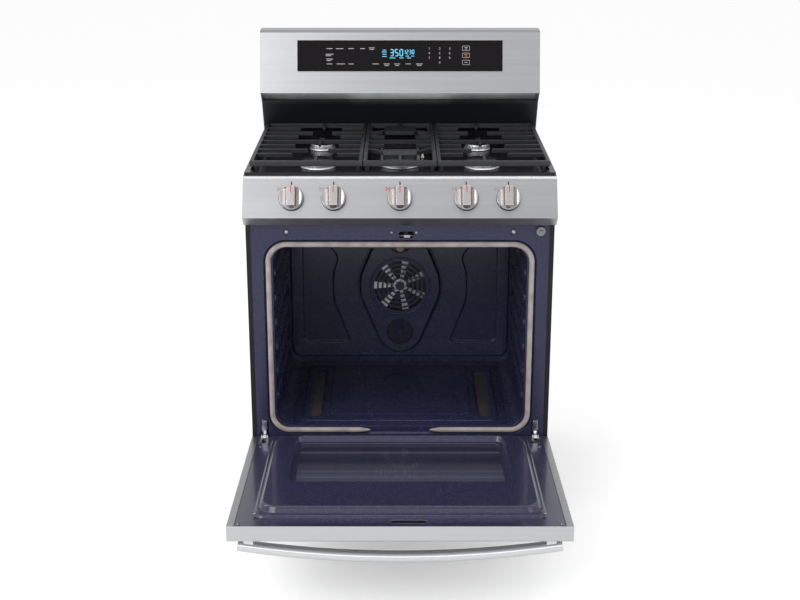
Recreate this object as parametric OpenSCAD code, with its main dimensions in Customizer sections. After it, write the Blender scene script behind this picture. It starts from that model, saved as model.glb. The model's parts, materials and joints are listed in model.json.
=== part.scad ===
// Freestanding gas range, standing on its feet, with the oven door folded open.
// X runs left to right, Y runs from the open door to the back, Z is up from the floor.
// The modules are drawn from the front frame's face (Y = 0) and moved once by at_frame().

/* [Body] */
// Width over the side panels
body_w = 756; // [600:1:920]
// Depth from the front frame's face to the back panel
body_d = 575; // [575:1:700]
// Thickness of the sheet metal
sheet = 1.2; // [0.8:0.1:1.5]
// Height of the feet
leg_h = 30; // [22:1:40]

/* [Drawer] */
// Height of the drawer's front
drawer_h = 141; // [118:1:180]
// Gap under the drawer's front, above the bottom of the body
drawer_gap = 14; // [12:1:25]
// How far the drawer slides out
drawer_travel = 400; // [250:5:400]

/* [Oven] */
// Inside width of the oven
cavity_w = 630; // [480:1:640]
// Inside height of the oven
cavity_h = 488; // [460:1:600]
// Inside depth of the oven
cavity_d = 472; // [440:1:472]
// Corner radius of the oven
cavity_r = 40; // [20:1:50]
// Thickness of the insulation round the oven
blanket_t = 22; // [15:1:24]
// Diameter of the door gasket's tube
gasket_dia = 12.6; // [10:0.2:13]

/* [Door] */
// Thickness of the door
door_t = 37; // [37:1:45]
// How far the door is folded down from closed
door_open = 86.5; // [80:0.5:90]
// Width of the door's window
window_w = 518; // [300:1:520]
// Height of the door's window
window_h = 299; // [200:1:320]
// Radius of the door hinge pin
pin_r = 4; // [3:0.5:5]
// Radial clearance of the hinge pin in its eye
pin_fit = 0.05; // [0.02:0.01:0.1]

/* [Handle] */
// Thickness of the handle's bar
handle_dia = 27; // [20:1:30]
// Distance from the door to the middle of the bar, at its centre
handle_reach = 56; // [50:1:60]
// The same distance at the bar's ends
handle_end_reach = 28; // [24:1:34]

/* [Knobs] */
// Diameter of a knob
knob_dia = 60; // [45:1:64]
// Height of a knob above its base
knob_h = 25; // [18:1:30]
// Radius of the valve stem
stem_r = 3; // [2.5:0.5:4]
// Radial clearance of the stem in its bores
stem_fit = 0.05; // [0.02:0.01:0.1]
// How far a knob is pushed in
push_travel = 3; // [2:0.5:3]
// Distance from the middle to the inner knobs
knob_x1 = 160; // [130:1:180]
// Distance from the middle to the outer knobs
knob_x2 = 262; // [240:1:280]

/* [Hob] */
// Height of the hob's rim above the top of the front frame
hob_rise = 126; // [124:1:150]
// Diameter of the front burners
burner_dia_front = 88; // [70:1:100]
// Diameter of the rear burners
burner_dia_rear = 68; // [55:1:85]
// Height of the grates above the hob's rim
grate_h = 20; // [16:1:24]
// Width of a grate's bars
bar_w = 7; // [6:1:12]
// Width of the middle grate
grate_mid_w = 182; // [160:1:200]

/* [Backguard] */
// Height of the backguard above the hob's rim
guard_h = 277; // [240:1:340]
// Width of the touch panel
glass_w = 556; // [400:1:580]
// Height of the touch panel, along its slope
glass_h = 85; // [60:1:95]

/* [Hidden] */

// ---- heights, from the floor up ----
drawer_z0 = leg_h + drawer_gap;
drawer_z1 = drawer_z0 + drawer_h;
door_z0 = drawer_z1 + 19;
pivot_z = door_z0 + 25;
frame_z0 = door_z0 + 22;
cavity_z0 = pivot_z + 21;
cavity_z1 = cavity_z0 + cavity_h;
frame_z1 = cavity_z1 + 52;
door_z1 = frame_z1 - 3;
hob_z = frame_z1 + hob_rise - 2;
pan_z0 = hob_z - 30;
pan_floor_z = hob_z - 26;
grate_z = hob_z + grate_h;
guard_z = hob_z + guard_h;

// ---- widths ----
side_in = body_w/2 - sheet;
frame_half = body_w/2 - 12;
door_half = body_w/2 + 0.5;
panel_half = body_w/2 + 2;
cavity_half = cavity_w/2;
recess_half = cavity_half + 23;
gasket_half = cavity_half + 9.6;
hinge_x = cavity_half + 30.5;
step_half = cavity_half + 20;
plateau_half = cavity_half - 4;

// ---- depths, from the face of the front frame ----
recess_d = 5;
cavity_y0 = recess_d + sheet;
cavity_y1 = cavity_y0 + cavity_d;
pivot_y = -14;
door_in_y = pivot_y;
door_out_y = door_in_y - door_t;
pan_y0 = 15;
pan_y1 = body_d - 26;
guard_foot_y = pan_y1 - 1;
back_y = body_d - sheet;

// The rest pose has the door folded down, so the object reaches this far in front of the frame
door_len = door_z1 - pivot_z;
door_reach = -pivot_y + door_len*sin(door_open) + door_t*cos(door_open);
frame_y = (door_reach - body_d)/2;

// ---- gasket ----
gasket_r = gasket_dia/2;
gasket_y = recess_d - gasket_r;
gasket_z0 = cavity_z0 - 5.2;
gasket_z1 = cavity_z1 - 0.7;
gasket_bend = 45;
gasket_gap = 75;
gasket_taper = 28;
mouth_z0 = cavity_z0 + 2;
mouth_z1 = cavity_z1 - 8;

// ---- window ----
window_z0 = pivot_z + 46;
window_mid = window_z0 + window_h/2;
pane_t = 4;
inner_lip = 10;

// ---- handle ----
handle_z = pivot_z + 510;
handle_half = door_half - 18.5;
handle_sag = handle_reach - handle_end_reach;
handle_arc_r = (handle_half*handle_half + handle_sag*handle_sag)/(2*handle_sag);
mount_x = handle_half - 25;
handle_steps = 16;

// ---- control panel and knobs ----
panel_t = 1.5;
panel_low = [-45, frame_z1 + 25];
panel_high = [3, frame_z1 + 111];
panel_tilt = atan2(panel_high[0] - panel_low[0], panel_high[1] - panel_low[1]);
knob_along = 49;
knob_y = panel_low[0] + knob_along*sin(panel_tilt);
knob_z = panel_low[1] + knob_along*cos(panel_tilt);
knob_xs = [-knob_x2, -knob_x1, 0, knob_x1, knob_x2];
knob_gap = push_travel + 1.5;
bezel_r = knob_dia/2 + 2;
bezel_t = 1.2;
stem_out = knob_gap + knob_h - 9.5;
manifold_t = 54;
manifold_r = 9;
manifold_y = knob_y + manifold_t*cos(panel_tilt);
manifold_z = knob_z - manifold_t*sin(panel_tilt);
manifold_half = knob_x2 + 30;

// ---- burners ----
burner_x = grate_mid_w/2 + 117;
burner_front_y = pan_y0 + 180;
burner_rear_y = pan_y1 - 135;
oval_y = (pan_y0 + pan_y1)/2 + 21;
oval_w = 100;
oval_l = 280;
tube_r = 4;
tube_z = pan_floor_z - 14;
neck_r = 12;
// One row per burner: x, y, diameter, and the knob that feeds it
round_burners = [[-burner_x, burner_front_y, burner_dia_front, 0],
    [-burner_x, burner_rear_y, burner_dia_rear, 1],
    [burner_x, burner_rear_y, burner_dia_rear, 3],
    [burner_x, burner_front_y, burner_dia_front, 4]];
head_h = 15;
cap_h = 8;

// ---- vent lip behind the grates ----
vent_lip = [body_d - 70, hob_z + 87];
vent_drop = 7;
vent_lean = (pan_y1 - vent_lip[0] + 1)/(vent_lip[1] - vent_drop - hob_z);

// ---- grates ----
grate_y0 = pan_y0 + 36;
grate_y1 = pan_y1 - grate_h*vent_lean - 1.75;
grate_gap = 2;
rail_w = 9;
rail_h = 13;
bar_h = 10;
grate_out = body_w/2 - 10;
grate_in = grate_mid_w/2 + grate_gap/2;

// ---- backguard ----
guard_low = [body_d - 108, hob_z + 115];
guard_high = [body_d - 64, guard_z - 6];
guard_tilt = atan2(guard_high[0] - guard_low[0], guard_high[1] - guard_low[1]);
guard_face = norm([guard_high[0] - guard_low[0], guard_high[1] - guard_low[1]]);
glass_t = 3;

// ---- gas inlet ----
reg_x = cavity_half - 15;
reg_z = leg_h + 90;
inlet_r = 10.2;
pipe_x = (cavity_half + blanket_t + side_in)/2;

$fn = 48;

// ================= helpers =================

// Places a piece: everything is drawn with Y = 0 on the front frame's face
module at_frame() { translate([0, frame_y, 0]) children(); }

// Both sides, left and right
module both() { for (s = [0, 1]) mirror([s, 0, 0]) children(); }

// A flat outline in X and Z, thickened from y0 to y1
module slab(y0, y1) { translate([0, y1, 0]) rotate([90, 0, 0]) linear_extrude(y1 - y0) children(); }

// An outline in Y and Z, drawn out along X from x0 to x1
module bar_x(x0, x1) { translate([x0, 0, 0]) rotate([90, 0, 90]) linear_extrude(x1 - x0) children(); }

// A rectangle with round corners, centred
module rounded(w, h, r) {
    square([w - 2*r, h], center=true);
    square([w, h - 2*r], center=true);
    for (x = [-1, 1], y = [-1, 1]) translate([x*(w/2 - r), y*(h/2 - r)]) circle(r);
}

// A long hole's outline, centred, with its length along the second axis
module oval(w, l) {
    square([w, l - w], center=true);
    for (s = [-1, 1]) translate([0, s*(l - w)/2]) circle(w/2);
}

// The round-cornered rectangle between two heights
module rounded_z(half, z0, z1, r) { translate([0, (z0 + z1)/2]) rounded(2*half, z1 - z0, r); }

// A box from one corner to the other
module box(a, b) { translate(a) cube([b[0] - a[0], b[1] - a[1], b[2] - a[2]]); }

// A round bar between two points that share two coordinates or lie in any line
module rod(a, b, r) {
    v = b - a;
    translate(a) rotate([0, acos(v[2]/norm(v)), atan2(v[1], v[0])]) cylinder(h=norm(v), r=r);
}

// A bent tube through points, with ball corners
module tube(points, r) {
    for (i = [0:len(points) - 2]) rod(points[i], points[i + 1], r);
    for (i = [1:len(points) - 2]) translate(points[i]) sphere(r);
}

// Folds the closed door down about its hinge
module folded() {
    at_frame() translate([0, pivot_y, pivot_z]) rotate([door_open, 0, 0])
        translate([0, -pivot_y, -pivot_z]) children();
}

// Stands on the control panel at knob number i, with Z along the stem, out of the panel
module on_knob(i) {
    at_frame() translate([knob_xs[i], knob_y, knob_z]) rotate([90 - panel_tilt, 0, 0]) children();
}

// ================= chassis =================

module side_panels() {
    color("#141519") at_frame() both() difference() {
        union() {
            box([side_in, 0, leg_h], [body_w/2, body_d, pan_z0]);
            box([frame_half, 0, leg_h], [side_in, sheet, frame_z1]);
        }
        box([frame_half - 1, -1, drawer_z1 + 1], [body_w, 13, frame_z0]);
        box([frame_half - 1, -1, frame_z1], [body_w, pan_y0, pan_z0 + 1]);
    }
}

module back_panel() {
    color("#8d9196") at_frame() difference() {
        box([-side_in, back_y, leg_h], [side_in, body_d, pan_z0]);
        rod([reg_x, back_y - 1, reg_z], [reg_x, body_d + 1, reg_z], inlet_r + 8);
    }
}

module base_pan() {
    color("#8d9196") at_frame() difference() {
        box([-side_in, sheet, leg_h], [side_in, back_y, leg_h + sheet]);
        feet_places() cylinder(h=60, r=5.3);
    }
}

module feet_places() {
    both() for (y = [42, body_d - 45]) translate([body_w/2 - 38, y, 0]) children();
}

module leveling_feet() {
    color("#23242a") at_frame() feet_places() {
        cylinder(h=8, r=17);
        cylinder(h=leg_h + sheet + 9, r=5);
        translate([0, 0, leg_h - 5]) cylinder(h=5, r=9);
        translate([0, 0, leg_h + sheet]) cylinder(h=5, r=9);
    }
}

module gas_regulator() {
    color("#b08d4a") at_frame() difference() {
        union() {
            rod([reg_x, back_y - 46, reg_z], [reg_x, back_y - 8, reg_z], 22);
            rod([reg_x, back_y - 8, reg_z], [reg_x, body_d, reg_z], inlet_r + 6);
            tube([[reg_x, back_y - 27, reg_z], [pipe_x, back_y - 27, reg_z],
                [pipe_x, back_y - 27, manifold_z], [pipe_x, manifold_y, manifold_z],
                [manifold_half, manifold_y, manifold_z]], 6);
        }
        rod([reg_x, back_y - 20, reg_z], [reg_x, body_d + 1, reg_z], inlet_r);
    }
}

// ================= oven =================

module front_frame() {
    color("#1c2a52") at_frame() {
        difference() {
            slab(0, sheet) translate([-frame_half, frame_z0]) square([2*frame_half, frame_z1 - frame_z0]);
            slab(-1, 3) recess_shape(0);
            both() box([hinge_x - 9, -1, pivot_z - 9], [hinge_x + 9, 3, pivot_z + 43]);
            box([-2, -1, frame_z1 - 38], [33, 3, frame_z1 - 20]);
            rod([switch_x, -1, switch_z], [switch_x, 3, switch_z], 6.2);
            frame_screw_places(sheet + 1) cylinder(h=4, r=1.8);
        }
        slab(0, cavity_y0) difference() { recess_shape(0); recess_shape(sheet); }
        slab(recess_d, cavity_y0) difference() { recess_shape(sheet); mouth_shape(); }
        both() box([frame_half - sheet, sheet, frame_z0], [frame_half, 11, frame_z1]);
        box([-frame_half + sheet, sheet, frame_z1 - sheet], [frame_half - sheet, 20, frame_z1]);
    }
}

module recess_shape(t) {
    rounded_z(recess_half - t, cavity_z0 - 18 + t, cavity_z1 + 11 - t, 58 - t);
}

module mouth_shape() { rounded_z(cavity_half, mouth_z0, mouth_z1, cavity_r); }

switch_x = cavity_half + 29;
switch_z = frame_z1 - 18;

module frame_screw_places(y) {
    for (p = [[-278, 22], [278, 22], [-20.6, 23], [39.6, 23]])
        translate([p[0], y, frame_z1 - p[1]]) rotate([90, 0, 0]) children();
}

module frame_screws() {
    color("#c9ccd2") at_frame() {
        frame_screw_places(0) cylinder(h=2.4, r=4.2);
        frame_screw_places(8) cylinder(h=8, r=1.7);
        both() translate([hinge_x - 1, 0, pivot_z + 66]) rotate([90, 0, 0]) cylinder(h=6, r=5.5);
    }
}

module oven_cavity() {
    color("#17213f") at_frame() difference() {
        slab(cavity_y0, cavity_y1 + sheet) cavity_shape(sheet);
        slab(cavity_y0 - 1, cavity_y1) cavity_shape(0);
        box([-floor_half, 60, cavity_z0 - 5], [floor_half, cavity_y1 - 50, cavity_z0 + 5]);
        rod([0, cavity_y1 - 5, fan_z], [0, cavity_y1 + 5, fan_z], 8);
        rod([lamp_x, cavity_y1 - 5, lamp_z], [lamp_x, cavity_y1 + 5, lamp_z], 22);
        rod([sensor_x, cavity_y1 - 5, sensor_z], [sensor_x, cavity_y1 + 5, sensor_z], 3.2);
        box([-4, cavity_y1 - 5, cavity_z1 - 44], [4, cavity_y1 + 5, cavity_z1 - 28]);
    }
    color("#17213f") at_frame() both() for (i = [0:5])
        intersection() {
            rod([cavity_half + 9, 30, cavity_z0 + 70 + i*66], [cavity_half + 9, cavity_y1 - 30,
                cavity_z0 + 70 + i*66], 16);
            box([cavity_half - 10, 0, cavity_z0], [cavity_half, cavity_y1, cavity_z1]);
        }
}

module cavity_shape(t) {
    rounded_z(cavity_half + t, cavity_z0 - t, cavity_z1 + t, cavity_r + t);
}

fan_z = cavity_z0 + 236;
fan_side = 135;
fan_big_r = 113;
fan_small_r = 61;
fan_cover_d = 26;
floor_half = cavity_half - 75;
lamp_x = cavity_half - 75;
lamp_z = cavity_z1 - 60;
sensor_x = 75 - cavity_half;
sensor_z = cavity_z1 - 60;

module oven_floor() {
    w1 = cavity_half - 61;
    w2 = cavity_half - 130;
    color("#17213f") at_frame() difference() {
        union() {
            box([-cavity_half + 42, cavity_y0 + 1, cavity_z0], [cavity_half - 42, cavity_y1 - 1,
                cavity_z0 + sheet]);
            box([-w1, 41, cavity_z0], [w1, cavity_y1 - 15, cavity_z0 + 3]);
            box([-w2, 79, cavity_z0], [w2, cavity_y1 - 50, cavity_z0 + 5]);
        }
        box([-w1 + sheet, 41 + sheet, cavity_z0 - 1], [w1 - sheet, cavity_y1 - 15 - sheet,
            cavity_z0 + 3 - sheet]);
        box([-w2 + sheet, 79 + sheet, cavity_z0 - 1], [w2 - sheet, cavity_y1 - 50 - sheet,
            cavity_z0 + 5 - sheet]);
        both() translate([0, 0, cavity_z0 - 1]) linear_extrude(9)
            translate([cavity_half - 95, 236]) oval(20, 318);
    }
}

module burner_box() {
    color("#3a3d42") at_frame() difference() {
        box([-floor_half - 14, 46, pivot_z - 21], [floor_half + 14, cavity_y1 - 36, cavity_z0 - sheet]);
        box([-floor_half, 60, pivot_z - 20], [floor_half, cavity_y1 - 50, cavity_z0]);
        rod([0, 40, burner_z], [0, 61, burner_z], 9);
    }
}

burner_z = pivot_z + 2;

module bake_burner() {
    color("#9ea2a8") at_frame() {
        rod([0, 46, burner_z], [0, cavity_y1 - 60, burner_z], 8.5);
        both() rod([0, 240, burner_z], [floor_half - 25, 240, burner_z], 6);
        rod([0, cavity_y1 - 60, burner_z], [0, cavity_y1 - 50, burner_z], 4);
    }
}

module broil_burner() {
    color("#9ea2a8") at_frame() {
        z = cavity_z1 - 36;
        rod([0, 90, z], [0, cavity_y1, z], 10);
        for (y = [110, 190, 270, 350]) both() rod([0, y, z], [150, y, z], 7);
        for (y = [110, 350]) both() box([144, y - 4, z], [152, y + 4, cavity_z1]);
    }
}

module oven_insulation() {
    z0 = pivot_z + 75;
    out_half = cavity_half + sheet + blanket_t;
    top = cavity_z1 + sheet + blanket_t;
    color("#d8cfa0") at_frame() difference() {
        box([-out_half, 24, z0], [out_half, cavity_y1 + sheet + blanket_t, top]);
        slab(cavity_y0, cavity_y1 + sheet) cavity_shape(sheet);
        rod([0, cavity_y1, fan_z], [0, cavity_y1 + 60, fan_z], 48);
        rod([lamp_x, cavity_y1, lamp_z], [lamp_x, cavity_y1 + 60, lamp_z], 26);
        rod([sensor_x, cavity_y1, sensor_z], [sensor_x, cavity_y1 + 60, sensor_z], 12);
        box([-45, 20, frame_z1 - 60], [90, 60, frame_z1]);
    }
}

module gasket_end(s) {
    x = gasket_gap;
    translate([s*(x + gasket_taper), gasket_y, gasket_z0]) rotate([0, -s*90, 0])
        cylinder(h=gasket_taper, r1=gasket_r, r2=1.5);
}

module door_gasket() {
    b = gasket_bend;
    color("#8c8474") at_frame() {
        both() {
            rod([gasket_half, gasket_y, gasket_z0 + b], [gasket_half, gasket_y, gasket_z1 - b], gasket_r);
            rod([gasket_gap + gasket_taper, gasket_y, gasket_z0], [gasket_half - b, gasket_y, gasket_z0],
                gasket_r);
            translate([gasket_half - b, gasket_y, gasket_z1 - b]) rotate([90, 0, 0])
                rotate_extrude(angle=90) translate([b, 0]) circle(gasket_r);
            translate([gasket_half - b, gasket_y, gasket_z0 + b]) rotate([90, 0, 0])
                rotate([0, 0, -90]) rotate_extrude(angle=90) translate([b, 0]) circle(gasket_r);
        }
        rod([b - gasket_half, gasket_y, gasket_z1], [gasket_half - b, gasket_y, gasket_z1], gasket_r);
        gasket_end(1);
        gasket_end(-1);
    }
}

// The fan cover's outline: one large disc and two small ones, joined by their tangents
module fan_outline(t) {
    big = fan_big_r + t;
    small = fan_small_r + t;
    a = acos((big - small)/fan_side);
    translate([0, fan_z]) {
        circle(big);
        for (s = [-1, 1]) translate([0, s*fan_side]) circle(small);
        for (s = [-1, 1]) polygon([[big*sin(a), s*big*cos(a)], [small*sin(a), s*(fan_side + small*cos(a))],
            [-small*sin(a), s*(fan_side + small*cos(a))], [-big*sin(a), s*big*cos(a)]]);
    }
}

// Rings of slots between radial spokes
module grille(r0, r1, rings, spokes) {
    pitch = (r1 - r0)/rings;
    difference() {
        for (i = [0:rings - 1]) difference() {
            circle(r0 + (i + 0.62)*pitch);
            circle(r0 + i*pitch);
        }
        for (k = [0:spokes - 1]) rotate(k*360/spokes) translate([0, -1.8]) square([r1 + 1, 3.6]);
    }
}

module fan_cover() {
    face = cavity_y1 - fan_cover_d;
    color("#1d2846") at_frame() difference() {
        union() {
            slab(face, cavity_y1) fan_outline(0);
            slab(cavity_y1 - 5, cavity_y1) fan_outline(9);
        }
        slab(face + sheet, cavity_y1 + 1) fan_outline(-sheet);
        slab(face - 1, face + 3) {
            translate([0, fan_z]) grille(14, 83, 5, 8);
            for (s = [-1, 1]) translate([0, fan_z + s*fan_side]) grille(8, 42, 3, 6);
        }
    }
}

module fan_motor() {
    color("#7d8288") at_frame() {
        rod([0, cavity_y1 + sheet, fan_z], [0, cavity_y1 + sheet + 6, fan_z], 44);
        rod([0, cavity_y1 + sheet + 6, fan_z], [0, cavity_y1 + sheet + 52, fan_z], 36);
        difference() {
            rod([0, cavity_y1 - 4, fan_z], [0, cavity_y1 + sheet, fan_z], 6.5);
            rod([0, cavity_y1 - 5, fan_z], [0, cavity_y1 + sheet, fan_z], 3.05);
        }
    }
}

module fan_wheel() {
    y0 = cavity_y1 - fan_cover_d + 5;
    color("#c3c7cd") at_frame() {
        difference() {
            rod([0, y0, fan_z], [0, y0 + 3, fan_z], 74);
            for (k = [0:6]) translate([0, 0, fan_z]) rotate([0, k*360/7, 0]) box([16, y0 - 1, -4], [66, y0 + 4, 13]);
        }
        for (k = [0:6]) translate([0, 0, fan_z]) rotate([0, k*360/7, 0])
            box([22, y0 + 3, -9], [70, y0 + 13, -7]);
        rod([0, y0 - 2, fan_z], [0, cavity_y1 - 5, fan_z], 9);
        rod([0, cavity_y1 - 5, fan_z], [0, cavity_y1, fan_z], 3);
    }
}

module oven_lamp() {
    color("#f2ead2") at_frame() {
        rod([lamp_x, cavity_y1 - 12, lamp_z], [lamp_x, cavity_y1, lamp_z], 27);
        rod([lamp_x, cavity_y1, lamp_z], [lamp_x, cavity_y1 + 34, lamp_z], 20);
    }
}

module oven_sensor() {
    color("#c3c7cd") at_frame() {
        rod([sensor_x, cavity_y1 - 90, sensor_z], [sensor_x, cavity_y1 + sheet + 10, sensor_z], 3);
        box([sensor_x - 16, cavity_y1 - 2, sensor_z - 8], [sensor_x + 16, cavity_y1, sensor_z + 8]);
    }
}

// ================= door lock, switch and hinges =================

lock_x = 15.5;
lock_y = 30;
lock_z = frame_z1 - 29;

module lock_motor() {
    color("#6c7076") at_frame() difference() {
        union() {
            box([lock_x - 22, lock_y - 12, lock_z + 5.5], [lock_x + 60, lock_y + 24, lock_z + 22]);
            box([lock_x - 22, lock_y - 12, lock_z - 8], [lock_x + 60, lock_y + 24, lock_z - 5.5]);
            box([lock_x + 40, lock_y - 12, lock_z - 5.5], [lock_x + 60, lock_y + 24, lock_z + 5.5]);
        }
        translate([lock_x, lock_y, lock_z - 9]) cylinder(h=40, r=4.05);
    }
}

module lock_hook() {
    color("#d4d7dc") at_frame() {
        translate([lock_x, lock_y, lock_z - 7]) cylinder(h=20, r=4);
        translate([lock_x, lock_y, lock_z - 4]) cylinder(h=8, r=9);
        box([lock_x - 6, -10, lock_z - 3], [lock_x + 3, lock_y, lock_z + 3]);
        box([lock_x - 6, -12.5, lock_z - 3], [lock_x + 9, -8.5, lock_z + 3]);
    }
}

module door_switch() {
    color("#dcdfe4") at_frame() {
        rod([switch_x, -19.6, switch_z], [switch_x, -9, switch_z], 4);
        rod([switch_x, -9, switch_z], [switch_x, 22, switch_z], 6.15);
        rod([switch_x, -9, switch_z], [switch_x, -7, switch_z], 11);
    }
}

module hinge_arms() {
    color("#d4d7dc") at_frame() both() {
        difference() {
            union() {
                rod([hinge_x - 4, pivot_y, pivot_z], [hinge_x + 4, pivot_y, pivot_z], 9);
                bar_x(hinge_x - 4, hinge_x + 4) polygon([[pivot_y, pivot_z - 8], [pivot_y + 14, pivot_z - 4],
                    [22, pivot_z + 2], [22, pivot_z + 39], [-2, pivot_z + 39], [-2, pivot_z + 14],
                    [pivot_y, pivot_z + 8.5]]);
                bar_x(hinge_x - 5.2, hinge_x + 5.2) translate([-3.2, pivot_z + 15]) square([3.2, 25]);
                box([hinge_x - 6, cavity_y0 + 3, pivot_z + 2], [hinge_x + 16, cavity_y0 + 6, pivot_z + 64]);
                box([hinge_x + 10, sheet, pivot_z + 47], [hinge_x + 16, cavity_y0 + 3, pivot_z + 64]);
            }
            rod([hinge_x - 6, pivot_y, pivot_z], [hinge_x + 6, pivot_y, pivot_z], pin_r + pin_fit);
        }
    }
}

// ================= drawer =================

module drawer_rails() {
    color("#a9adb3") at_frame() both() {
        box([cavity_half + 35, 12, leg_h + 66], [cavity_half + 36.5, body_d - 60, leg_h + 92]);
        for (y = [30, body_d - 110])
            box([cavity_half + 36.5, y, leg_h + 70], [side_in, y + 24, leg_h + 88]);
    }
}

module drawer_front() {
    color("#b9bcc0") at_frame() difference() {
        box([-door_half, door_out_y, drawer_z0], [door_half, -21, drawer_z1]);
        box([-door_half + sheet, door_out_y + sheet, drawer_z0 + sheet], [door_half - sheet, -20,
            drawer_z1 - sheet]);
    }
}

module drawer_box() {
    out = cavity_half + 30;
    t = sheet;
    z0 = leg_h + 36;
    z1 = drawer_z1 - 15;
    color("#2a2c31") at_frame() {
        difference() {
            box([-out, -21, z0], [out, body_d - 65, z1]);
            box([t - out, t - 21, z0 + t], [out - t, body_d - 65 - t, z1 + 1]);
        }
        box([-out - 22, -21, z0], [-out, t - 21, z1]);
        box([out, -21, z0], [out + 22, t - 21, z1]);
        both() box([out, 20, leg_h + 72], [out + 4.6, body_d - 75, leg_h + 86]);
        both() box([door_half - 6, door_out_y + sheet, z0 + 20], [door_half - sheet, -21, z0 + 40]);
        both() box([out + 20, -21 - 1, z0 + 20], [door_half - sheet, -21 + t, z0 + 40]);
    }
}

// ================= door =================

// The door's side outline, closed, in from the outside by t
function door_outline(t) = concat(
    [[door_in_y - (t > 0 ? sheet : 0), door_z0 + 14 + 0.8*t], [door_in_y - 16, door_z0 + t],
    [door_out_y + 12, door_z0 + t]],
    [for (a = [-100:-10:-170]) [door_out_y + 12 + (12 - t)*cos(a), door_z0 + 12 + (12 - t)*sin(a)]],
    [[door_out_y + t, door_z0 + 12], [door_out_y + t, door_z1 - 4], [door_out_y + 4, door_z1 - t],
    [door_in_y - (t > 0 ? sheet : 0), door_z1 - t]]);

module hinge_notch(y0) {
    both() box([hinge_x - 9, y0, door_z0 - 6], [hinge_x + 9, door_in_y + 20, pivot_z + 46]);
}

module door_skin() {
    color("#b9bcc0") folded() difference() {
        bar_x(-door_half, door_half) polygon(door_outline(0));
        bar_x(sheet - door_half, door_half - sheet) polygon(door_outline(sheet));
        box([-panel_in, door_in_y - 3, door_z0 + 10], [panel_in, door_in_y + 3, door_z1 - 2]);
        slab(door_out_y - 2, door_out_y + 3) rounded_z(window_w/2, window_z0, window_z0 + window_h, 20);
        hinge_notch(door_in_y - 17);
    }
}

panel_in = door_half - 16.5;
step_z0 = pivot_z + 4;
step_z1 = cavity_z1 + 5;
plateau_z0 = pivot_z + 35;
plateau_z1 = mouth_z1 - 8;
step_h = 6;
plateau_h = 20;

module step_shape(t) { rounded_z(step_half - t, step_z0 + t, step_z1 - t, 22 - t); }
module plateau_shape(t) { rounded_z(plateau_half - t, plateau_z0 + t, plateau_z1 - t, cavity_r - t); }
module recess_window(t) { rounded_z(window_w/2 - t, window_z0 + t, window_z0 + window_h - t, 20); }

module door_inner_panel() {
    y = door_in_y;
    t = sheet;
    lip_y = y + 6;
    color("#1c2a52") folded() difference() {
        union() {
            slab(y - t, y) difference() {
                translate([-panel_in + 0.3, door_z0 + 14.5]) square([2*panel_in - 0.6, door_z1 - door_z0 - 17]);
                step_shape(t);
            }
            slab(y - t, y + step_h) difference() { step_shape(0); step_shape(t); }
            slab(y + step_h - t, y + step_h) difference() { step_shape(t); plateau_shape(t); }
            slab(y + step_h - t, y + plateau_h) difference() { plateau_shape(0); plateau_shape(t); }
            slab(y + plateau_h - t, y + plateau_h) difference() { plateau_shape(t); recess_window(0); }
            slab(lip_y, y + plateau_h) difference() { recess_window(-t); recess_window(0); }
            slab(lip_y - t, lip_y) difference() { recess_window(-t); recess_window(inner_lip); }
        }
        hinge_notch(y - 20);
        box([lock_x - 18, y - 3, lock_z - 10], [lock_x + 24, y + 3, lock_z + 10]);
    }
}

module door_inner_glass() {
    y = door_in_y + 6 - sheet;
    color("#0d0f14") folded() slab(y - pane_t, y) recess_window(0.5);
}

module door_outer_glass() {
    y = door_out_y + sheet;
    color("#0d0f14") folded() slab(y, y + pane_t)
        rounded_z(window_w/2 + 16, window_z0 - 14, window_z0 + window_h + 14, 10);
}

module handle_bar(r) {
    span = 2*asin(handle_half/handle_arc_r);
    translate([0, door_out_y - handle_reach + handle_arc_r, handle_z]) rotate([0, 0, -90 - span/2])
        rotate_extrude(angle=span, $fn=ceil(handle_steps*360/span)) translate([handle_arc_r, 0])
            circle(r, $fn=48);
}

module door_handle() { color("#c4c6c9") folded() handle_bar(handle_dia/2); }

module handle_mounts() {
    reach = handle_reach - handle_arc_r + sqrt(handle_arc_r*handle_arc_r - mount_x*mount_x);
    lean = asin(mount_x/handle_arc_r);
    color("#c4c6c9") folded() both() difference() {
        box([mount_x - 11, door_out_y - reach, handle_z - 10], [mount_x + 11, door_out_y, handle_z + 10]);
        translate([mount_x, door_out_y - reach, handle_z]) rotate([0, 90, lean])
            cylinder(h=60, r=handle_dia/2 + 0.04, center=true);
    }
}

module hinge_channels() {
    y = door_in_y - sheet;
    t = 2.5;
    gap = 5.5;
    color("#a9adb3") folded() both() {
        difference() {
            union() {
                rod([hinge_x - gap - t, pivot_y, pivot_z], [hinge_x + gap + t, pivot_y, pivot_z], 8);
                box([hinge_x - gap - t, door_out_y + 6, pivot_z - 8], [hinge_x + gap + t, y, pivot_z + 96]);
                for (s = [-1, 1]) translate([hinge_x + s*11.5, 0, 0])
                    box([-4.5, y - 2, pivot_z - 4], [4.5, y, pivot_z + 96]);
            }
            box([hinge_x - gap, door_out_y + 6 + t, pivot_z - 30], [hinge_x + gap, pivot_y + 30, pivot_z + 93]);
        }
        rod([hinge_x - gap - t, pivot_y, pivot_z], [hinge_x + gap + t, pivot_y, pivot_z], pin_r);
    }
}

module door_screws() {
    color("#c9ccd2") folded() both() {
        for (p = [[step_half - 14, step_z1 - 12 - pivot_z, step_h], [panel_in - 9, door_len - 12, 0],
            [panel_in - 6, 13, 0]])
            translate([p[0], door_in_y + p[2], pivot_z + p[1]]) rotate([90, 0, 0])
                translate([0, 0, -2.2]) cylinder(h=2.2, r=4);
    }
}

// ================= control panel and gas =================

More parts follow.
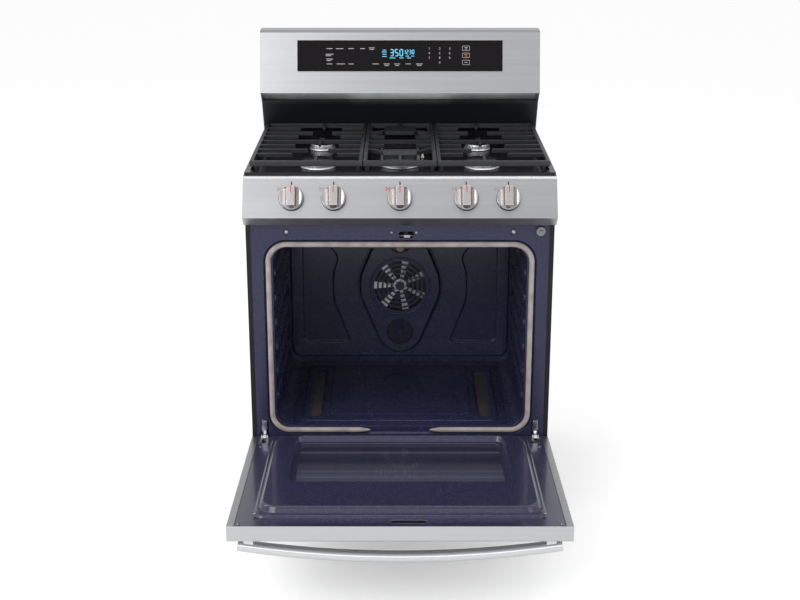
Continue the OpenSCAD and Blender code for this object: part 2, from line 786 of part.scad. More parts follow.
function panel_outline(t) = [[15, frame_z1 + t], [-15 + 0.4*t, frame_z1 + t],
    [panel_low[0] + 1.1*t, panel_low[1]], [panel_high[0] + 0.8*t, panel_high[1] - 0.5*t],
    [panel_high[0] + 4, panel_high[1] + 5 - t], [15, hob_z - 6 - t]];

module control_panel() {
    color("#b9bcc0") {
        difference() {
            at_frame() difference() {
                bar_x(-panel_half, panel_half) polygon(panel_outline(0));
                bar_x(panel_t - panel_half, panel_half - panel_t) polygon(concat(panel_outline(panel_t),
                    [[16, hob_z - 6 - panel_t], [16, frame_z1 + panel_t]]));
            }
            for (i = [0:4]) on_knob(i) translate([0, 0, -12]) cylinder(h=20, r=stem_r + 2.5);
        }
    }
}

module knob_bezels() {
    color("#55585e") for (i = [0:4]) on_knob(i) difference() {
        cylinder(h=bezel_t, r=bezel_r);
        translate([0, 0, -1]) cylinder(h=5, r=stem_r + 2.5);
    }
}

module gas_manifold() {
    color("#9ea2a8") at_frame()
        rod([-manifold_half, manifold_y, manifold_z], [manifold_half, manifold_y, manifold_z], manifold_r);
}

module valve_bodies() {
    color("#b08d4a") difference() {
        for (i = [0:4]) on_knob(i) difference() {
            union() {
                translate([0, 0, -manifold_t]) cylinder(h=manifold_t - 8, r=11);
                translate([0, 0, -24]) cylinder(h=10, r=15);
            }
            translate([0, 0, -30]) cylinder(h=40, r=stem_r + stem_fit);
        }
        at_frame() rod([-manifold_half, manifold_y, manifold_z], [manifold_half, manifold_y, manifold_z],
            manifold_r);
    }
}

module valve_stem(i) {
    color("#d4d7dc") on_knob(i) {
        translate([0, 0, -28]) cylinder(h=28 + stem_out, r=stem_r);
    }
}

module knob(i) {
    color("#b4b6b9") on_knob(i) difference() {
        union() {
            translate([0, 0, knob_gap]) cylinder(h=9, r=knob_dia/2);
            translate([0, 0, knob_gap]) intersection() {
                cylinder(h=knob_h, r=knob_dia/2);
                bar_x(-10, 10) polygon([[-knob_dia/2, 0], [knob_dia/2, 0], [knob_dia/2, knob_h],
                    [-knob_dia/2 + 6, knob_h], [-knob_dia/2, knob_h - 9]]);
            }
        }
        translate([0, 0, knob_gap - 1]) cylinder(h=knob_h - 4, r=stem_r + stem_fit);
    }
}

// A tube under the hob from the front at x0 back to y1, then round a bend to x1
module burner_tube(x0, x1, y1) {
    bend = 20;
    s = x1 > x0 ? 1 : -1;
    rod([x0, manifold_y + 14, tube_z], [x0, y1 - bend, tube_z], tube_r);
    translate([x0 + s*bend, y1 - bend, tube_z]) rotate(s > 0 ? 90 : 0)
        rotate_extrude(angle=90) translate([bend, 0]) circle(tube_r);
    rod([x0 + s*bend, y1, tube_z], [x1, y1, tube_z], tube_r);
}

module burner_tubes() {
    holder = pan_floor_z - 3 - tube_z + 9;
    color("#a9adb3") at_frame() {
        for (b = round_burners) {
            burner_tube(knob_xs[b[3]], b[0], b[1]);
            translate([b[0], b[1], tube_z - 9]) cylinder(h=holder, r=15);
        }
        rod([0, manifold_y + 14, tube_z], [0, oval_y - 40, tube_z], tube_r);
        translate([0, oval_y - 40, tube_z - 9]) cylinder(h=holder, r=15);
    }
}

// ================= hob =================

module hob_pan() {
    rim = 12;
    half = body_w/2;
    color("#17181c") at_frame() difference() {
        box([-half, pan_y0, pan_z0], [half, pan_y1, hob_z]);
        translate([0, 0, pan_floor_z]) linear_extrude(60)
            translate([0, (pan_y0 + pan_y1)/2]) rounded(2*(half - rim), pan_y1 - pan_y0 - 2*rim, 24);
        box([2 - half, pan_y0 + 2, pan_z0 - 1], [half - 2, pan_y1 - 2, pan_floor_z - 3]);
        for (b = round_burners) translate([b[0], b[1], pan_z0]) cylinder(h=40, r=neck_r + 0.3);
        translate([0, oval_y - 40, pan_z0]) cylinder(h=40, r=neck_r + 0.3);
        for (b = round_burners) translate([b[0], b[1] + b[2]/2 + 9, pan_z0]) cylinder(h=40, r=2.8);
        translate([oval_w/2 + 9, oval_y, pan_z0]) cylinder(h=40, r=2.8);
    }
}

module burner_heads() {
    color("#b4b6ba") at_frame() {
        for (b = round_burners) translate([b[0], b[1], 0]) {
            translate([0, 0, pan_floor_z - 3]) cylinder(h=10, r=neck_r);
            translate([0, 0, pan_floor_z]) cylinder(h=head_h, r=b[2]/2);
        }
        translate([0, oval_y - 40, pan_floor_z - 3]) cylinder(h=10, r=neck_r);
        translate([0, oval_y, pan_floor_z]) linear_extrude(head_h) oval(oval_w, oval_l);
    }
}

module burner_caps() {
    z = pan_floor_z + head_h;
    color("#1b1c20") at_frame() {
        for (b = round_burners) translate([b[0], b[1], z]) {
            cylinder(h=cap_h - 2, r=b[2]/2 - 4);
            cylinder(h=cap_h, r=b[2]/2 - 7);
        }
        translate([0, oval_y, z]) linear_extrude(cap_h) oval(oval_w - 18, oval_l - 18);
    }
}

module spark_electrodes() {
    color("#e6e3da") at_frame() {
        for (p = concat([for (b = round_burners) [b[0], b[1] + b[2]/2 + 9]], [[oval_w/2 + 9, oval_y]]))
            translate([p[0], p[1], pan_floor_z - 16]) {
                cylinder(h=28, r=2.5);
                translate([0, 0, 16]) cylinder(h=3, r=4.5);
                translate([0, 0, 28]) cylinder(h=6, r=1.2);
            }
    }
}

module flat_bar(a, b, w=bar_w) {
    v = b - a;
    translate(a) rotate(atan2(v[1], v[0])) translate([0, -w/2]) square([norm(v), w]);
}

// One side grate, on the right
module side_grate() {
    span = grate_out - grate_in;
    y0 = grate_y0;
    y1 = grate_y1;
    mid = (burner_front_y + burner_rear_y)/2;
    outer_end = burner_x + 62;
    inner_end = burner_x - 50;
    translate([0, 0, grate_z - rail_h]) linear_extrude(rail_h) {
        translate([grate_in, y0]) square([span, rail_w]);
        translate([grate_in, y1 - rail_w]) square([span, rail_w]);
    }
    translate([0, 0, grate_z - bar_h]) linear_extrude(bar_h) {
        translate([grate_in, y0]) square([rail_w, y1 - y0]);
        translate([grate_out - rail_w, y0]) square([rail_w, y1 - y0]);
        for (y = [burner_front_y, mid, burner_rear_y]) {
            flat_bar([grate_in, y], [burner_x - 26, y]);
            flat_bar([burner_x + 26, y], [grate_out, y]);
        }
        flat_bar([burner_x - 27, mid], [burner_x + 27, mid]);
        for (y = [burner_front_y - 52, burner_front_y + 54, burner_rear_y - 50, burner_rear_y + 60]) {
            flat_bar([grate_in, y], [inner_end, y]);
            flat_bar([outer_end, y], [grate_out, y]);
        }
        flat_bar([burner_x, mid - 40], [burner_x, mid + 30]);
        flat_bar([burner_x, y0], [burner_x, burner_front_y - 84]);
        flat_bar([burner_x, burner_rear_y + 76], [burner_x, y1]);
    }
    for (x = [grate_in + 10, grate_out - 16], y = [y0 + 9, y1 - 9])
        translate([x, y, pan_floor_z]) cylinder(h=grate_z - pan_floor_z - 5, r=5);
}

module grate_right() { color("#2b2d33") at_frame() side_grate(); }
module grate_left() { color("#2b2d33") at_frame() mirror([1, 0, 0]) side_grate(); }

module grate_middle() {
    half = grate_mid_w/2 - grate_gap/2;
    y0 = grate_y0;
    y1 = grate_y1;
    mid = (burner_front_y + burner_rear_y)/2;
    color("#2b2d33") at_frame() {
        translate([0, 0, grate_z - rail_h]) linear_extrude(rail_h)
            for (y = [y0, y1 - rail_w]) translate([-half, y]) square([2*half, rail_w]);
        translate([0, 0, grate_z - bar_h]) linear_extrude(bar_h) {
            for (s = [-1, 1]) translate([s*(half - rail_w/2) - rail_w/2, y0]) square([rail_w, y1 - y0]);
            flat_bar([-half, mid], [half, mid]);
            for (s = [-1, 1], y = [mid - 54, mid + 61])
                flat_bar([s*half, y], [s*41, y]);
            for (s = [-1, 1], e = [[burner_front_y, -1, burner_front_y - 74], [burner_rear_y, 1,
                burner_rear_y + 6]]) {
                flat_bar([s*half, e[0]], [s*68, e[0]]);
                flat_bar([s*70, e[0]], [s*40, e[0] + e[1]*24]);
            }
            translate([0, burner_front_y - 40]) rounded(84, 66, 8);
            translate([0, burner_rear_y + 40]) rounded(84, 66, 8);
            flat_bar([0, y0], [0, burner_front_y - 60]);
            flat_bar([0, burner_rear_y + 60], [0, y1]);
        }
        both() for (y = [y0 + 9, y1 - 9])
            translate([half - 10, y, pan_floor_z]) cylinder(h=grate_z - pan_floor_z - 5, r=5);
    }
}

// ================= backguard =================

module backguard() {
    color("#b9bcc0") at_frame() {
        difference() {
            bar_x(-body_w/2 + sheet, body_w/2 - sheet) polygon([guard_low, guard_high,
                guard_high + [3, 4], guard_high + [9, 6], [back_y - 6, guard_z], [back_y, guard_z - 6],
                [back_y, guard_low[1]]]);
            bar_x(-body_w/2, body_w/2) polygon([guard_low + [1.3, sheet], guard_high + [1.3, 0],
                guard_high + [9, 6 - sheet], [back_y - 6, guard_z - sheet], [back_y + 1, guard_z - sheet],
                [back_y + 1, guard_low[1] + sheet]]);
            bar_x(-body_w/2, body_w/2) translate([guard_low[0] + 22, guard_low[1] - 1]) square([200, 4]);
        }
        both() bar_x(side_in, body_w/2) polygon([[pan_y1, pan_z0], [body_d, pan_z0], [body_d, guard_z - 6],
            [back_y - 6, guard_z], guard_high + [9, 6], guard_high + [3, 4], guard_high, guard_low,
            guard_low + [8, -4], vent_lip + [-1, 0], [pan_y1, hob_z]]);
    }
}

module backguard_rear() {
    color("#8d9196") at_frame() box([-side_in, back_y, pan_z0], [side_in, body_d, guard_z - 7]);
}

module vent_trim() {
    t = 2;
    bottom = [pan_y1, hob_z - 12];
    color("#101115") at_frame() {
        bar_x(-side_in, side_in) polygon([bottom, bottom + [t, 0], [pan_y1 + t, hob_z + 1],
            vent_lip + [t, -vent_drop], [back_y, vent_lip[1] - vent_drop], [back_y, vent_lip[1] - vent_drop + t],
            vent_lip + [0, t - vent_drop], vent_lip + [-1, -vent_drop], [pan_y1, hob_z]]);
        both() bar_x(147, side_in) polygon([vent_lip + [-1, -vent_drop], vent_lip + [t - 1, -vent_drop],
            vent_lip + [t - 1, 0], vent_lip + [-1, 0]]);
    }
}

module touch_panel() {
    color("#0b0c10") at_frame() translate([0, guard_low[0], guard_low[1]])
        rotate([-guard_tilt, 0, 0]) slab(-glass_t, 0)
        translate([0, guard_face/2 + 19]) rounded(glass_w, glass_h, 3);
}

side_panels();
back_panel();
base_pan();
leveling_feet();
front_frame();
frame_screws();
oven_cavity();
oven_floor();
burner_box();
bake_burner();
broil_burner();
oven_insulation();
door_gasket();
fan_cover();
fan_motor();
fan_wheel();
oven_lamp();
oven_sensor();
hinge_arms();
lock_motor();
lock_hook();
door_switch();
drawer_rails();
drawer_front();
drawer_box();
door_skin();
door_inner_panel();
door_inner_glass();
door_outer_glass();
door_handle();
handle_mounts();
hinge_channels();
door_screws();
control_panel();
knob_bezels();
gas_manifold();
valve_bodies();
burner_tubes();
gas_regulator();
hob_pan();
burner_heads();
burner_caps();
spark_electrodes();
grate_left();
grate_middle();
grate_right();
backguard();
backguard_rear();
vent_trim();
touch_panel();
valve_stem(0);  // valve_stem_1
knob(0);  // knob_1
valve_stem(1);  // valve_stem_2
knob(1);  // knob_2
valve_stem(2);  // valve_stem_3
knob(2);  // knob_3
valve_stem(3);  // valve_stem_4
knob(3);  // knob_4
valve_stem(4);  // valve_stem_5
knob(4);  // knob_5
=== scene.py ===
# %% [markdown]
# A freestanding gas range, seen from the front with its oven door folded open.
# The engineering model gives every part its place, so this lesson only adds looks:
# finishes for the parts whose shape is already right, and finer meshes for those
# that need pressed edges, braids, vanes and printed marks.

# %% Load the frame
import json
import math

import bmesh
import bpy
from mathutils import Matrix, Vector


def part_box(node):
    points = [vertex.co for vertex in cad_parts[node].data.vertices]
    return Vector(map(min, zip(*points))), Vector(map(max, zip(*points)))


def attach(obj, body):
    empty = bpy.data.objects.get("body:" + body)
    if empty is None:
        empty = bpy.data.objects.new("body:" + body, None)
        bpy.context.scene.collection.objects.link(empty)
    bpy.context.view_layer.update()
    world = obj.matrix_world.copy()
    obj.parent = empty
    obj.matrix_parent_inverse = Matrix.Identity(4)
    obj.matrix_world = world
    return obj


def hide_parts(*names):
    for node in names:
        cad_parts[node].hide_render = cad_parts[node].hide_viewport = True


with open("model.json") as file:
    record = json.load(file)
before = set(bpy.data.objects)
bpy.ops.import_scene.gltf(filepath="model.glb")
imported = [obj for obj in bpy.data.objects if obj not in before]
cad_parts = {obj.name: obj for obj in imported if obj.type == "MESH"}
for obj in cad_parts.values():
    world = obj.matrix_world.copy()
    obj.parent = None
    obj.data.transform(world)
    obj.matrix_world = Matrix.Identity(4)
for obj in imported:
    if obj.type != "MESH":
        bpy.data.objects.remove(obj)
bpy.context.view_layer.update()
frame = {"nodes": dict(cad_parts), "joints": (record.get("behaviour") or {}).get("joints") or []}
nodes = frame["nodes"]

# %% [markdown]
# The main planes and centres are read from the parts themselves. Depth is counted from the
# face of the front frame, so a short helper turns millimetres in that frame into metres.

# %% Sizes read from the frame
MM = 0.001


def low(node):
    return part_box(node)[0]


def high(node):
    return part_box(node)[1]


face_y = low("front_frame").y
hinge = next(j for j in frame["joints"] if j["name"] == "door_hinge")
pivot = Vector(hinge["pos_m"])
door_open = math.radians(86.5)
frame_half = high("front_frame").x
frame_bottom, frame_top = low("front_frame").z, high("front_frame").z
cavity_half = high("oven_cavity").x - 1.2*MM
cavity_bottom, cavity_top = low("oven_cavity").z + 1.2*MM, high("oven_cavity").z - 1.2*MM
cavity_back = high("oven_cavity").y - 1.2*MM
FOLD = (Matrix.Translation(pivot) @ Matrix.Rotation(door_open, 4, "X")
        @ Matrix.Translation(-pivot))
print("frame face at", round(face_y, 4), "hinge at", tuple(round(v, 4) for v in pivot))

# %% [markdown]
# A sheet-metal part is drawn the way it is pressed: a flat blank first, then steps pushed in
# or out. Insetting a face with a depth is exactly such a step with sloping walls, so one
# helper runs a list of (inward, outward) steps and every pressing below uses it.

# %% Mesh helpers


def face_loop(bm, points):
    """A face through a few corner points."""
    return bm.faces.new([bm.verts.new(p) for p in points])


def round_corners(bm, face, radius, segments=8):
    """Rounds the corners of one flat face and returns the face again."""
    centre = face.calc_center_median()
    others = set(bm.faces) - {face}
    bmesh.ops.bevel(bm, geom=list(face.verts), offset=radius, segments=segments, profile=0.5,
                    affect="VERTICES", offset_type="OFFSET", material=-1)
    new = [f for f in bm.faces if f not in others]
    return min(new, key=lambda f: (f.calc_center_median() - centre).length)


def rounded_panel(bm, half, z0, z1, y, radius, middle=0.0, segments=8):
    """An upright rounded rectangle that faces the viewer."""
    x0, x1 = middle - half, middle + half
    face = face_loop(bm, [(x0, y, z0), (x1, y, z0), (x1, y, z1), (x0, y, z1)])
    return round_corners(bm, face, radius, segments) if radius else face


def rounded_plate(bm, x0, x1, y0, y1, z, radius, segments=8):
    """A level rounded rectangle that faces up."""
    face = face_loop(bm, [(x0, y0, z), (x1, y0, z), (x1, y1, z), (x0, y1, z)])
    return round_corners(bm, face, radius, segments) if radius else face


def press(bm, face, steps):
    """Insets a face by each (inward, outward) step in millimetres, and returns the last face."""
    face.normal_update()
    for inward, outward in steps:
        bmesh.ops.inset_individual(bm, faces=[face], thickness=inward*MM, depth=outward*MM,
                                   use_even_offset=True)
    return face


def recessed(bm, face, steps):
    """Presses a face, and returns it with the edges that its outline keeps."""
    def spot(v):
        return tuple(round(c, 6) for c in v.co)
    outline = {spot(v) for v in face.verts}
    face = press(bm, face, steps)
    return face, [e for e in bm.edges if all(spot(v) in outline for v in e.verts)]


def draft(run, rise, count=5):
    """Steps of a pressed wall whose foot and shoulder are both rounded."""
    steps = []
    for i in range(count):
        a, b = i/count, (i + 1)/count
        smooth = [t*t*(3 - 2*t) for t in (a, b)]
        steps.append((run*(b - a), rise*(smooth[1] - smooth[0])))
    return steps


def open_face(bm, face):
    """Deletes a face and keeps its edges, which it returns."""
    edges = list(face.edges)
    bmesh.ops.delete(bm, geom=[face], context="FACES_ONLY")
    return edges


def fill_between(bm, edges):
    """Fills a flat blank between its outline and its holes."""
    bmesh.ops.triangle_fill(bm, use_beauty=True, use_dissolve=False, edges=edges)


def lathe(bm, profile, steps):
    """Spins a profile of (radius, height) points round the z axis."""
    verts = [bm.verts.new((r, 0, h)) for r, h in profile]
    edges = [bm.edges.new(pair) for pair in zip(verts, verts[1:])]
    bmesh.ops.spin(bm, geom=verts + edges, cent=(0, 0, 0), axis=(0, 0, 1), angle=2*math.pi,
                   steps=steps, use_merge=True)
    bmesh.ops.remove_doubles(bm, verts=bm.verts, dist=1e-6)


def block(bm, corner, opposite, bevel=0.0, segments=2):
    """A box between two corners, with its edges eased."""
    a, b = Vector(corner), Vector(opposite)
    made = bmesh.ops.create_cube(bm, size=1.0)["verts"]
    bmesh.ops.scale(bm, vec=b - a, verts=made)
    bmesh.ops.translate(bm, vec=(a + b)/2, verts=made)
    if bevel:
        edges = list({e for v in made for e in v.link_edges})
        bmesh.ops.bevel(bm, geom=edges, offset=bevel, segments=segments, profile=0.5,
                        affect="EDGES", material=-1)


def place(bm, matrix):
    bmesh.ops.transform(bm, matrix=matrix, verts=bm.verts)


def upright(x, y, z):
    """Stands up a part that was spun flat, so that it looks at the viewer from a spot."""
    return Matrix.Translation((x, y, z)) @ Matrix.Rotation(math.radians(90), 4, "X")


def joined(bm, other):
    """Adds one bmesh to another."""
    scratch = bpy.data.meshes.new("scratch")
    other.to_mesh(scratch)
    other.free()
    bm.from_mesh(scratch)
    bpy.data.meshes.remove(scratch)


def drawn_out(bm, edges, vec):
    """Extrudes edges by a vector, and returns the new points and the new edges."""
    made = bmesh.ops.extrude_edge_only(bm, edges=edges)["geom"]
    verts = [v for v in made if isinstance(v, bmesh.types.BMVert)]
    bmesh.ops.translate(bm, vec=vec, verts=verts)
    return verts, [e for e in made if isinstance(e, bmesh.types.BMEdge)]


def outward(bm):
    bmesh.ops.remove_doubles(bm, verts=bm.verts, dist=1e-6)
    bmesh.ops.recalc_face_normals(bm, faces=bm.faces)


def looking(bm, axis, sign):
    """Makes the faces agree and look, by area, along an axis (0, 1, 2) or against it."""
    bmesh.ops.recalc_face_normals(bm, faces=bm.faces)
    if sign*sum(f.normal[axis]*f.calc_area() for f in bm.faces) < 0:
        bmesh.ops.reverse_faces(bm, faces=bm.faces)


def side_name(side):
    return "right" if side > 0 else "left"


# %% [markdown]
# Every finished piece is made the same way: the bmesh becomes an object at the origin, takes
# its finish, rides on a body of the range and may stand for a plain part. Bevels and wall
# thickness come last, as modifiers, so the cells that follow stay about shape.

# %% Piece helpers


def piece(name, bm, material, body, stands_for=(), wall=0.0, bevel=0.0, smooth=35):
    mesh = bpy.data.meshes.new(name)
    bm.to_mesh(mesh)
    bm.free()
    mesh.materials.append(material)
    mesh.shade_smooth()
    mesh.set_sharp_from_angle(angle=math.radians(smooth))
    made = bpy.data.objects.new(name, mesh)
    bpy.context.scene.collection.objects.link(made)
    if wall:
        solid = made.modifiers.new("wall", "SOLIDIFY")
        solid.thickness = wall
        solid.offset = -1.0
        solid.use_even_offset = True
    if bevel:
        soften = made.modifiers.new("eased edges", "BEVEL")
        soften.width = bevel
        soften.segments = 2
        soften.limit_method = "ANGLE"
        soften.angle_limit = math.radians(40)
    flat = made.modifiers.new("flat areas stay flat", "WEIGHTED_NORMAL")
    flat.keep_sharp = True
    flat.weight = 60
    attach(made, body)
    if stands_for:
        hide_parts(*stands_for)
    return made


def eased(node, name, material, body, width, clean=1.0):
    """A copy of a plain part with its sharp edges eased."""
    bm = bmesh.new()
    bm.from_mesh(nodes[node].data)
    bmesh.ops.remove_doubles(bm, verts=bm.verts, dist=1e-6)
    bmesh.ops.dissolve_limit(bm, angle_limit=math.radians(clean), verts=bm.verts, edges=bm.edges)
    return piece(name, bm, material, body, [node], bevel=width)


def finish(node, material):
    """Gives a part of the frame its finish."""
    data = nodes[node].data
    data.materials.clear()
    data.materials.append(material)


# %% [markdown]
# Finishes. Three effects are shared, so each is a node group that puts out only a colour, a
# mask or a height: fine pale specks for porcelain enamel, straight hairline grain for brushed
# steel, and a cloudy unevenness for everything that is cast, painted or handled. Each finish
# then keeps its own shader and sets its constants on the shader's own sockets.

# %% Node-tree helpers


def new_group(name, inputs, outputs):
    group = bpy.data.node_groups.new(name, "ShaderNodeTree")
    for label, kind, value in inputs:
        socket = group.interface.new_socket(label, in_out="INPUT", socket_type=kind)
        socket.default_value = value
    for label, kind in outputs:
        group.interface.new_socket(label, in_out="OUTPUT", socket_type=kind)
    return group, group.nodes.new("NodeGroupInput"), group.nodes.new("NodeGroupOutput")


def put(tree, kind, **settings):
    node = tree.nodes.new(kind)
    for key, value in settings.items():
        setattr(node, key, value)
    return node


def math_node(tree, operation, a, b=None, clamp=False):
    node = put(tree, "ShaderNodeMath", operation=operation, use_clamp=clamp)
    for index, value in enumerate((a, b)):
        if value is None:
            continue
        if isinstance(value, (int, float)):
            node.inputs[index].default_value = value
        else:
            tree.links.new(value, node.inputs[index])
    return node.outputs[0]


def mix_colour(tree, factor, a, b):
    node = put(tree, "ShaderNodeMix", data_type="RGBA")
    for socket, value in ((node.inputs[0], factor), (node.inputs[6], a), (node.inputs[7], b)):
        if isinstance(value, (int, float, tuple)):
            socket.default_value = value
        else:
            tree.links.new(value, socket)
    return node.outputs[2]


FLOAT, COLOUR = "NodeSocketFloat", "NodeSocketColor"

# %% Shared effect: enamel specks


def make_specks():
    group, source, sink = new_group(
        "enamel_specks",
        [("Base", COLOUR, (0, 0, 0, 1)), ("Speck", COLOUR, (1, 1, 1, 1)),
         ("Per Metre", FLOAT, 420.0), ("Share", FLOAT, 0.3)],
        [("Color", COLOUR)])
    where = put(group, "ShaderNodeTexCoord")
    cells = put(group, "ShaderNodeTexVoronoi", feature="F1")
    group.links.new(where.outputs["Object"], cells.inputs["Vector"])
    group.links.new(source.outputs["Per Metre"], cells.inputs["Scale"])
    split = put(group, "ShaderNodeSeparateColor")
    group.links.new(cells.outputs["Color"], split.inputs[0])
    size = math_node(group, "MULTIPLY", split.outputs[1], 0.30)
    dot = math_node(group, "LESS_THAN", cells.outputs["Distance"], size)
    chosen = math_node(group, "LESS_THAN", split.outputs[0], source.outputs["Share"])
    mask = math_node(group, "MULTIPLY", dot, chosen)
    colour = mix_colour(group, mask, source.outputs["Base"], source.outputs["Speck"])
    group.links.new(colour, sink.inputs["Color"])
    return group


# %% Shared effect: hairline grain


def make_grain():
    group, source, sink = new_group(
        "hairline_grain",
        [("Along X", FLOAT, 3.0), ("Along Y", FLOAT, 900.0), ("Along Z", FLOAT, 900.0)],
        [("Height", FLOAT), ("Shade", FLOAT)])
    where = put(group, "ShaderNodeTexCoord")
    stretch = put(group, "ShaderNodeVectorMath", operation="MULTIPLY")
    scales = put(group, "ShaderNodeCombineXYZ")
    for index, label in enumerate(("Along X", "Along Y", "Along Z")):
        group.links.new(source.outputs[label], scales.inputs[index])
    group.links.new(where.outputs["Object"], stretch.inputs[0])
    group.links.new(scales.outputs[0], stretch.inputs[1])
    fine = put(group, "ShaderNodeTexNoise")
    fine.inputs["Scale"].default_value = 1.0
    fine.inputs["Detail"].default_value = 3.0
    fine.inputs["Roughness"].default_value = 0.65
    group.links.new(stretch.outputs[0], fine.inputs["Vector"])
    broad = put(group, "ShaderNodeTexNoise")
    broad.inputs["Scale"].default_value = 0.12
    broad.inputs["Detail"].default_value = 2.0
    group.links.new(stretch.outputs[0], broad.inputs["Vector"])
    both = math_node(group, "ADD", math_node(group, "MULTIPLY", fine.outputs[0], 0.65),
                     math_node(group, "MULTIPLY", broad.outputs[0], 0.35))
    group.links.new(fine.outputs[0], sink.inputs["Height"])
    group.links.new(both, sink.inputs["Shade"])
    return group


# %% Shared effect: cloudy unevenness


def make_cloud():
    group, source, sink = new_group(
        "cloudy",
        [("Per Metre", FLOAT, 20.0), ("Low", FLOAT, 0.0), ("High", FLOAT, 1.0)],
        [("Value", FLOAT)])
    where = put(group, "ShaderNodeTexCoord")
    noise = put(group, "ShaderNodeTexNoise")
    noise.inputs["Detail"].default_value = 4.0
    group.links.new(where.outputs["Object"], noise.inputs["Vector"])
    group.links.new(source.outputs["Per Metre"], noise.inputs["Scale"])
    spread = put(group, "ShaderNodeMapRange")
    spread.inputs["From Min"].default_value = 0.3
    spread.inputs["From Max"].default_value = 0.7
    group.links.new(noise.outputs[0], spread.inputs["Value"])
    group.links.new(source.outputs["Low"], spread.inputs["To Min"])
    group.links.new(source.outputs["High"], spread.inputs["To Max"])
    group.links.new(spread.outputs[0], sink.inputs["Value"])
    return group


SPECKS, GRAIN, CLOUD = make_specks(), make_grain(), make_cloud()


def use(tree, group, **values):
    node = put(tree, "ShaderNodeGroup", node_tree=group)
    for label, value in values.items():
        node.inputs[label.replace("_", " ")].default_value = value
    return node


def shader(name, **constants):
    """A new material whose constants sit on its Principled shader."""
    material = bpy.data.materials.new(name)
    material.use_nodes = True
    tree = material.node_tree
    bsdf = tree.nodes["Principled BSDF"]
    for label, value in constants.items():
        bsdf.inputs[label.replace("_", " ")].default_value = value
    return material, tree, bsdf


def bump(tree, bsdf, height, strength, distance):
    node = put(tree, "ShaderNodeBump")
    node.inputs["Strength"].default_value = strength
    node.inputs["Distance"].default_value = distance
    tree.links.new(height, node.inputs["Height"])
    tree.links.new(node.outputs[0], bsdf.inputs["Normal"])


# %% Porcelain enamel


def enamel(name, base, speck, share, per_metre, gloss, ripple, shine, level):
    material, tree, bsdf = shader(name, Metallic=0.0, IOR=1.5, Coat_Weight=shine,
                                  Coat_Roughness=0.08, Specular_IOR_Level=level)
    specks = use(tree, SPECKS, Base=base, Speck=speck, Per_Metre=per_metre, Share=share)
    tree.links.new(specks.outputs["Color"], bsdf.inputs["Base Color"])
    cloud = use(tree, CLOUD, Per_Metre=16.0, Low=gloss - 0.02, High=gloss + 0.03)
    tree.links.new(cloud.outputs[0], bsdf.inputs["Roughness"])
    peel = use(tree, CLOUD, Per_Metre=140.0, Low=0.0, High=1.0)
    bump(tree, bsdf, peel.outputs[0], ripple, 0.0006)
    return material


NAVY = enamel("navy_enamel", (0.017, 0.018, 0.047, 1), (0.20, 0.21, 0.31, 1), 0.55, 620.0, 0.27,
              0.008, 0.10, 0.24)
DOOR_NAVY = enamel("door_enamel", (0.020, 0.021, 0.050, 1), (0.20, 0.21, 0.31, 1), 0.55, 620.0,
                   0.24, 0.004, 0.40, 0.35)
BLACK_ENAMEL = enamel("black_enamel", (0.004, 0.004, 0.006, 1), (0.03, 0.03, 0.035, 1),
                      0.15, 500.0, 0.22, 0.010, 0.0, 0.25)
VENT_ENAMEL = enamel("vent_enamel", (0.006, 0.007, 0.010, 1), (0.03, 0.03, 0.035, 1),
                     0.10, 500.0, 0.46, 0.005, 0.0, 0.35)

# %% Brushed steel


def brushed(name, tint, rough, along, strength, contrast):
    material, tree, bsdf = shader(name, Metallic=1.0)
    grain = use(tree, GRAIN, Along_X=along[0], Along_Y=along[1], Along_Z=along[2])
    dark = tuple(c*(1 - contrast) for c in tint[:3]) + (1.0,)
    colour = mix_colour(tree, grain.outputs["Shade"], dark, tint)
    tree.links.new(colour, bsdf.inputs["Base Color"])
    spread = put(tree, "ShaderNodeMapRange")
    spread.inputs["To Min"].default_value = rough - 0.05
    spread.inputs["To Max"].default_value = rough + 0.07
    tree.links.new(grain.outputs["Shade"], spread.inputs["Value"])
    tree.links.new(spread.outputs[0], bsdf.inputs["Roughness"])
    bump(tree, bsdf, grain.outputs["Height"], strength, 0.0002)
    return material


STEEL = brushed("brushed_steel", (0.46, 0.465, 0.485, 1), 0.33, (2.0, 700.0, 700.0), 0.16, 0.24)
KNOB_STEEL = brushed("knob_steel", (0.56, 0.53, 0.525, 1), 0.24, (900.0, 60.0, 60.0), 0.05, 0.06)
BAR_STEEL = brushed("handle_steel", (0.50, 0.505, 0.52, 1), 0.22, (3.0, 700.0, 700.0), 0.05, 0.06)

# %% Bright plating, castings and sheet


def metal(name, tint, rough, lumps, strength, metallic=1.0):
    material, tree, bsdf = shader(name, Metallic=metallic)
    cloud = use(tree, CLOUD, Per_Metre=24.0, Low=0.0, High=1.0)
    dark = tuple(c*0.82 for c in tint[:3]) + (1.0,)
    tree.links.new(mix_colour(tree, cloud.outputs[0], dark, tint), bsdf.inputs["Base Color"])
    wear = use(tree, CLOUD, Per_Metre=60.0, Low=rough - 0.05, High=rough + 0.08)
    tree.links.new(wear.outputs[0], bsdf.inputs["Roughness"])
    skin = use(tree, CLOUD, Per_Metre=lumps, Low=0.0, High=1.0)
    bump(tree, bsdf, skin.outputs[0], strength, 0.0005)
    return material


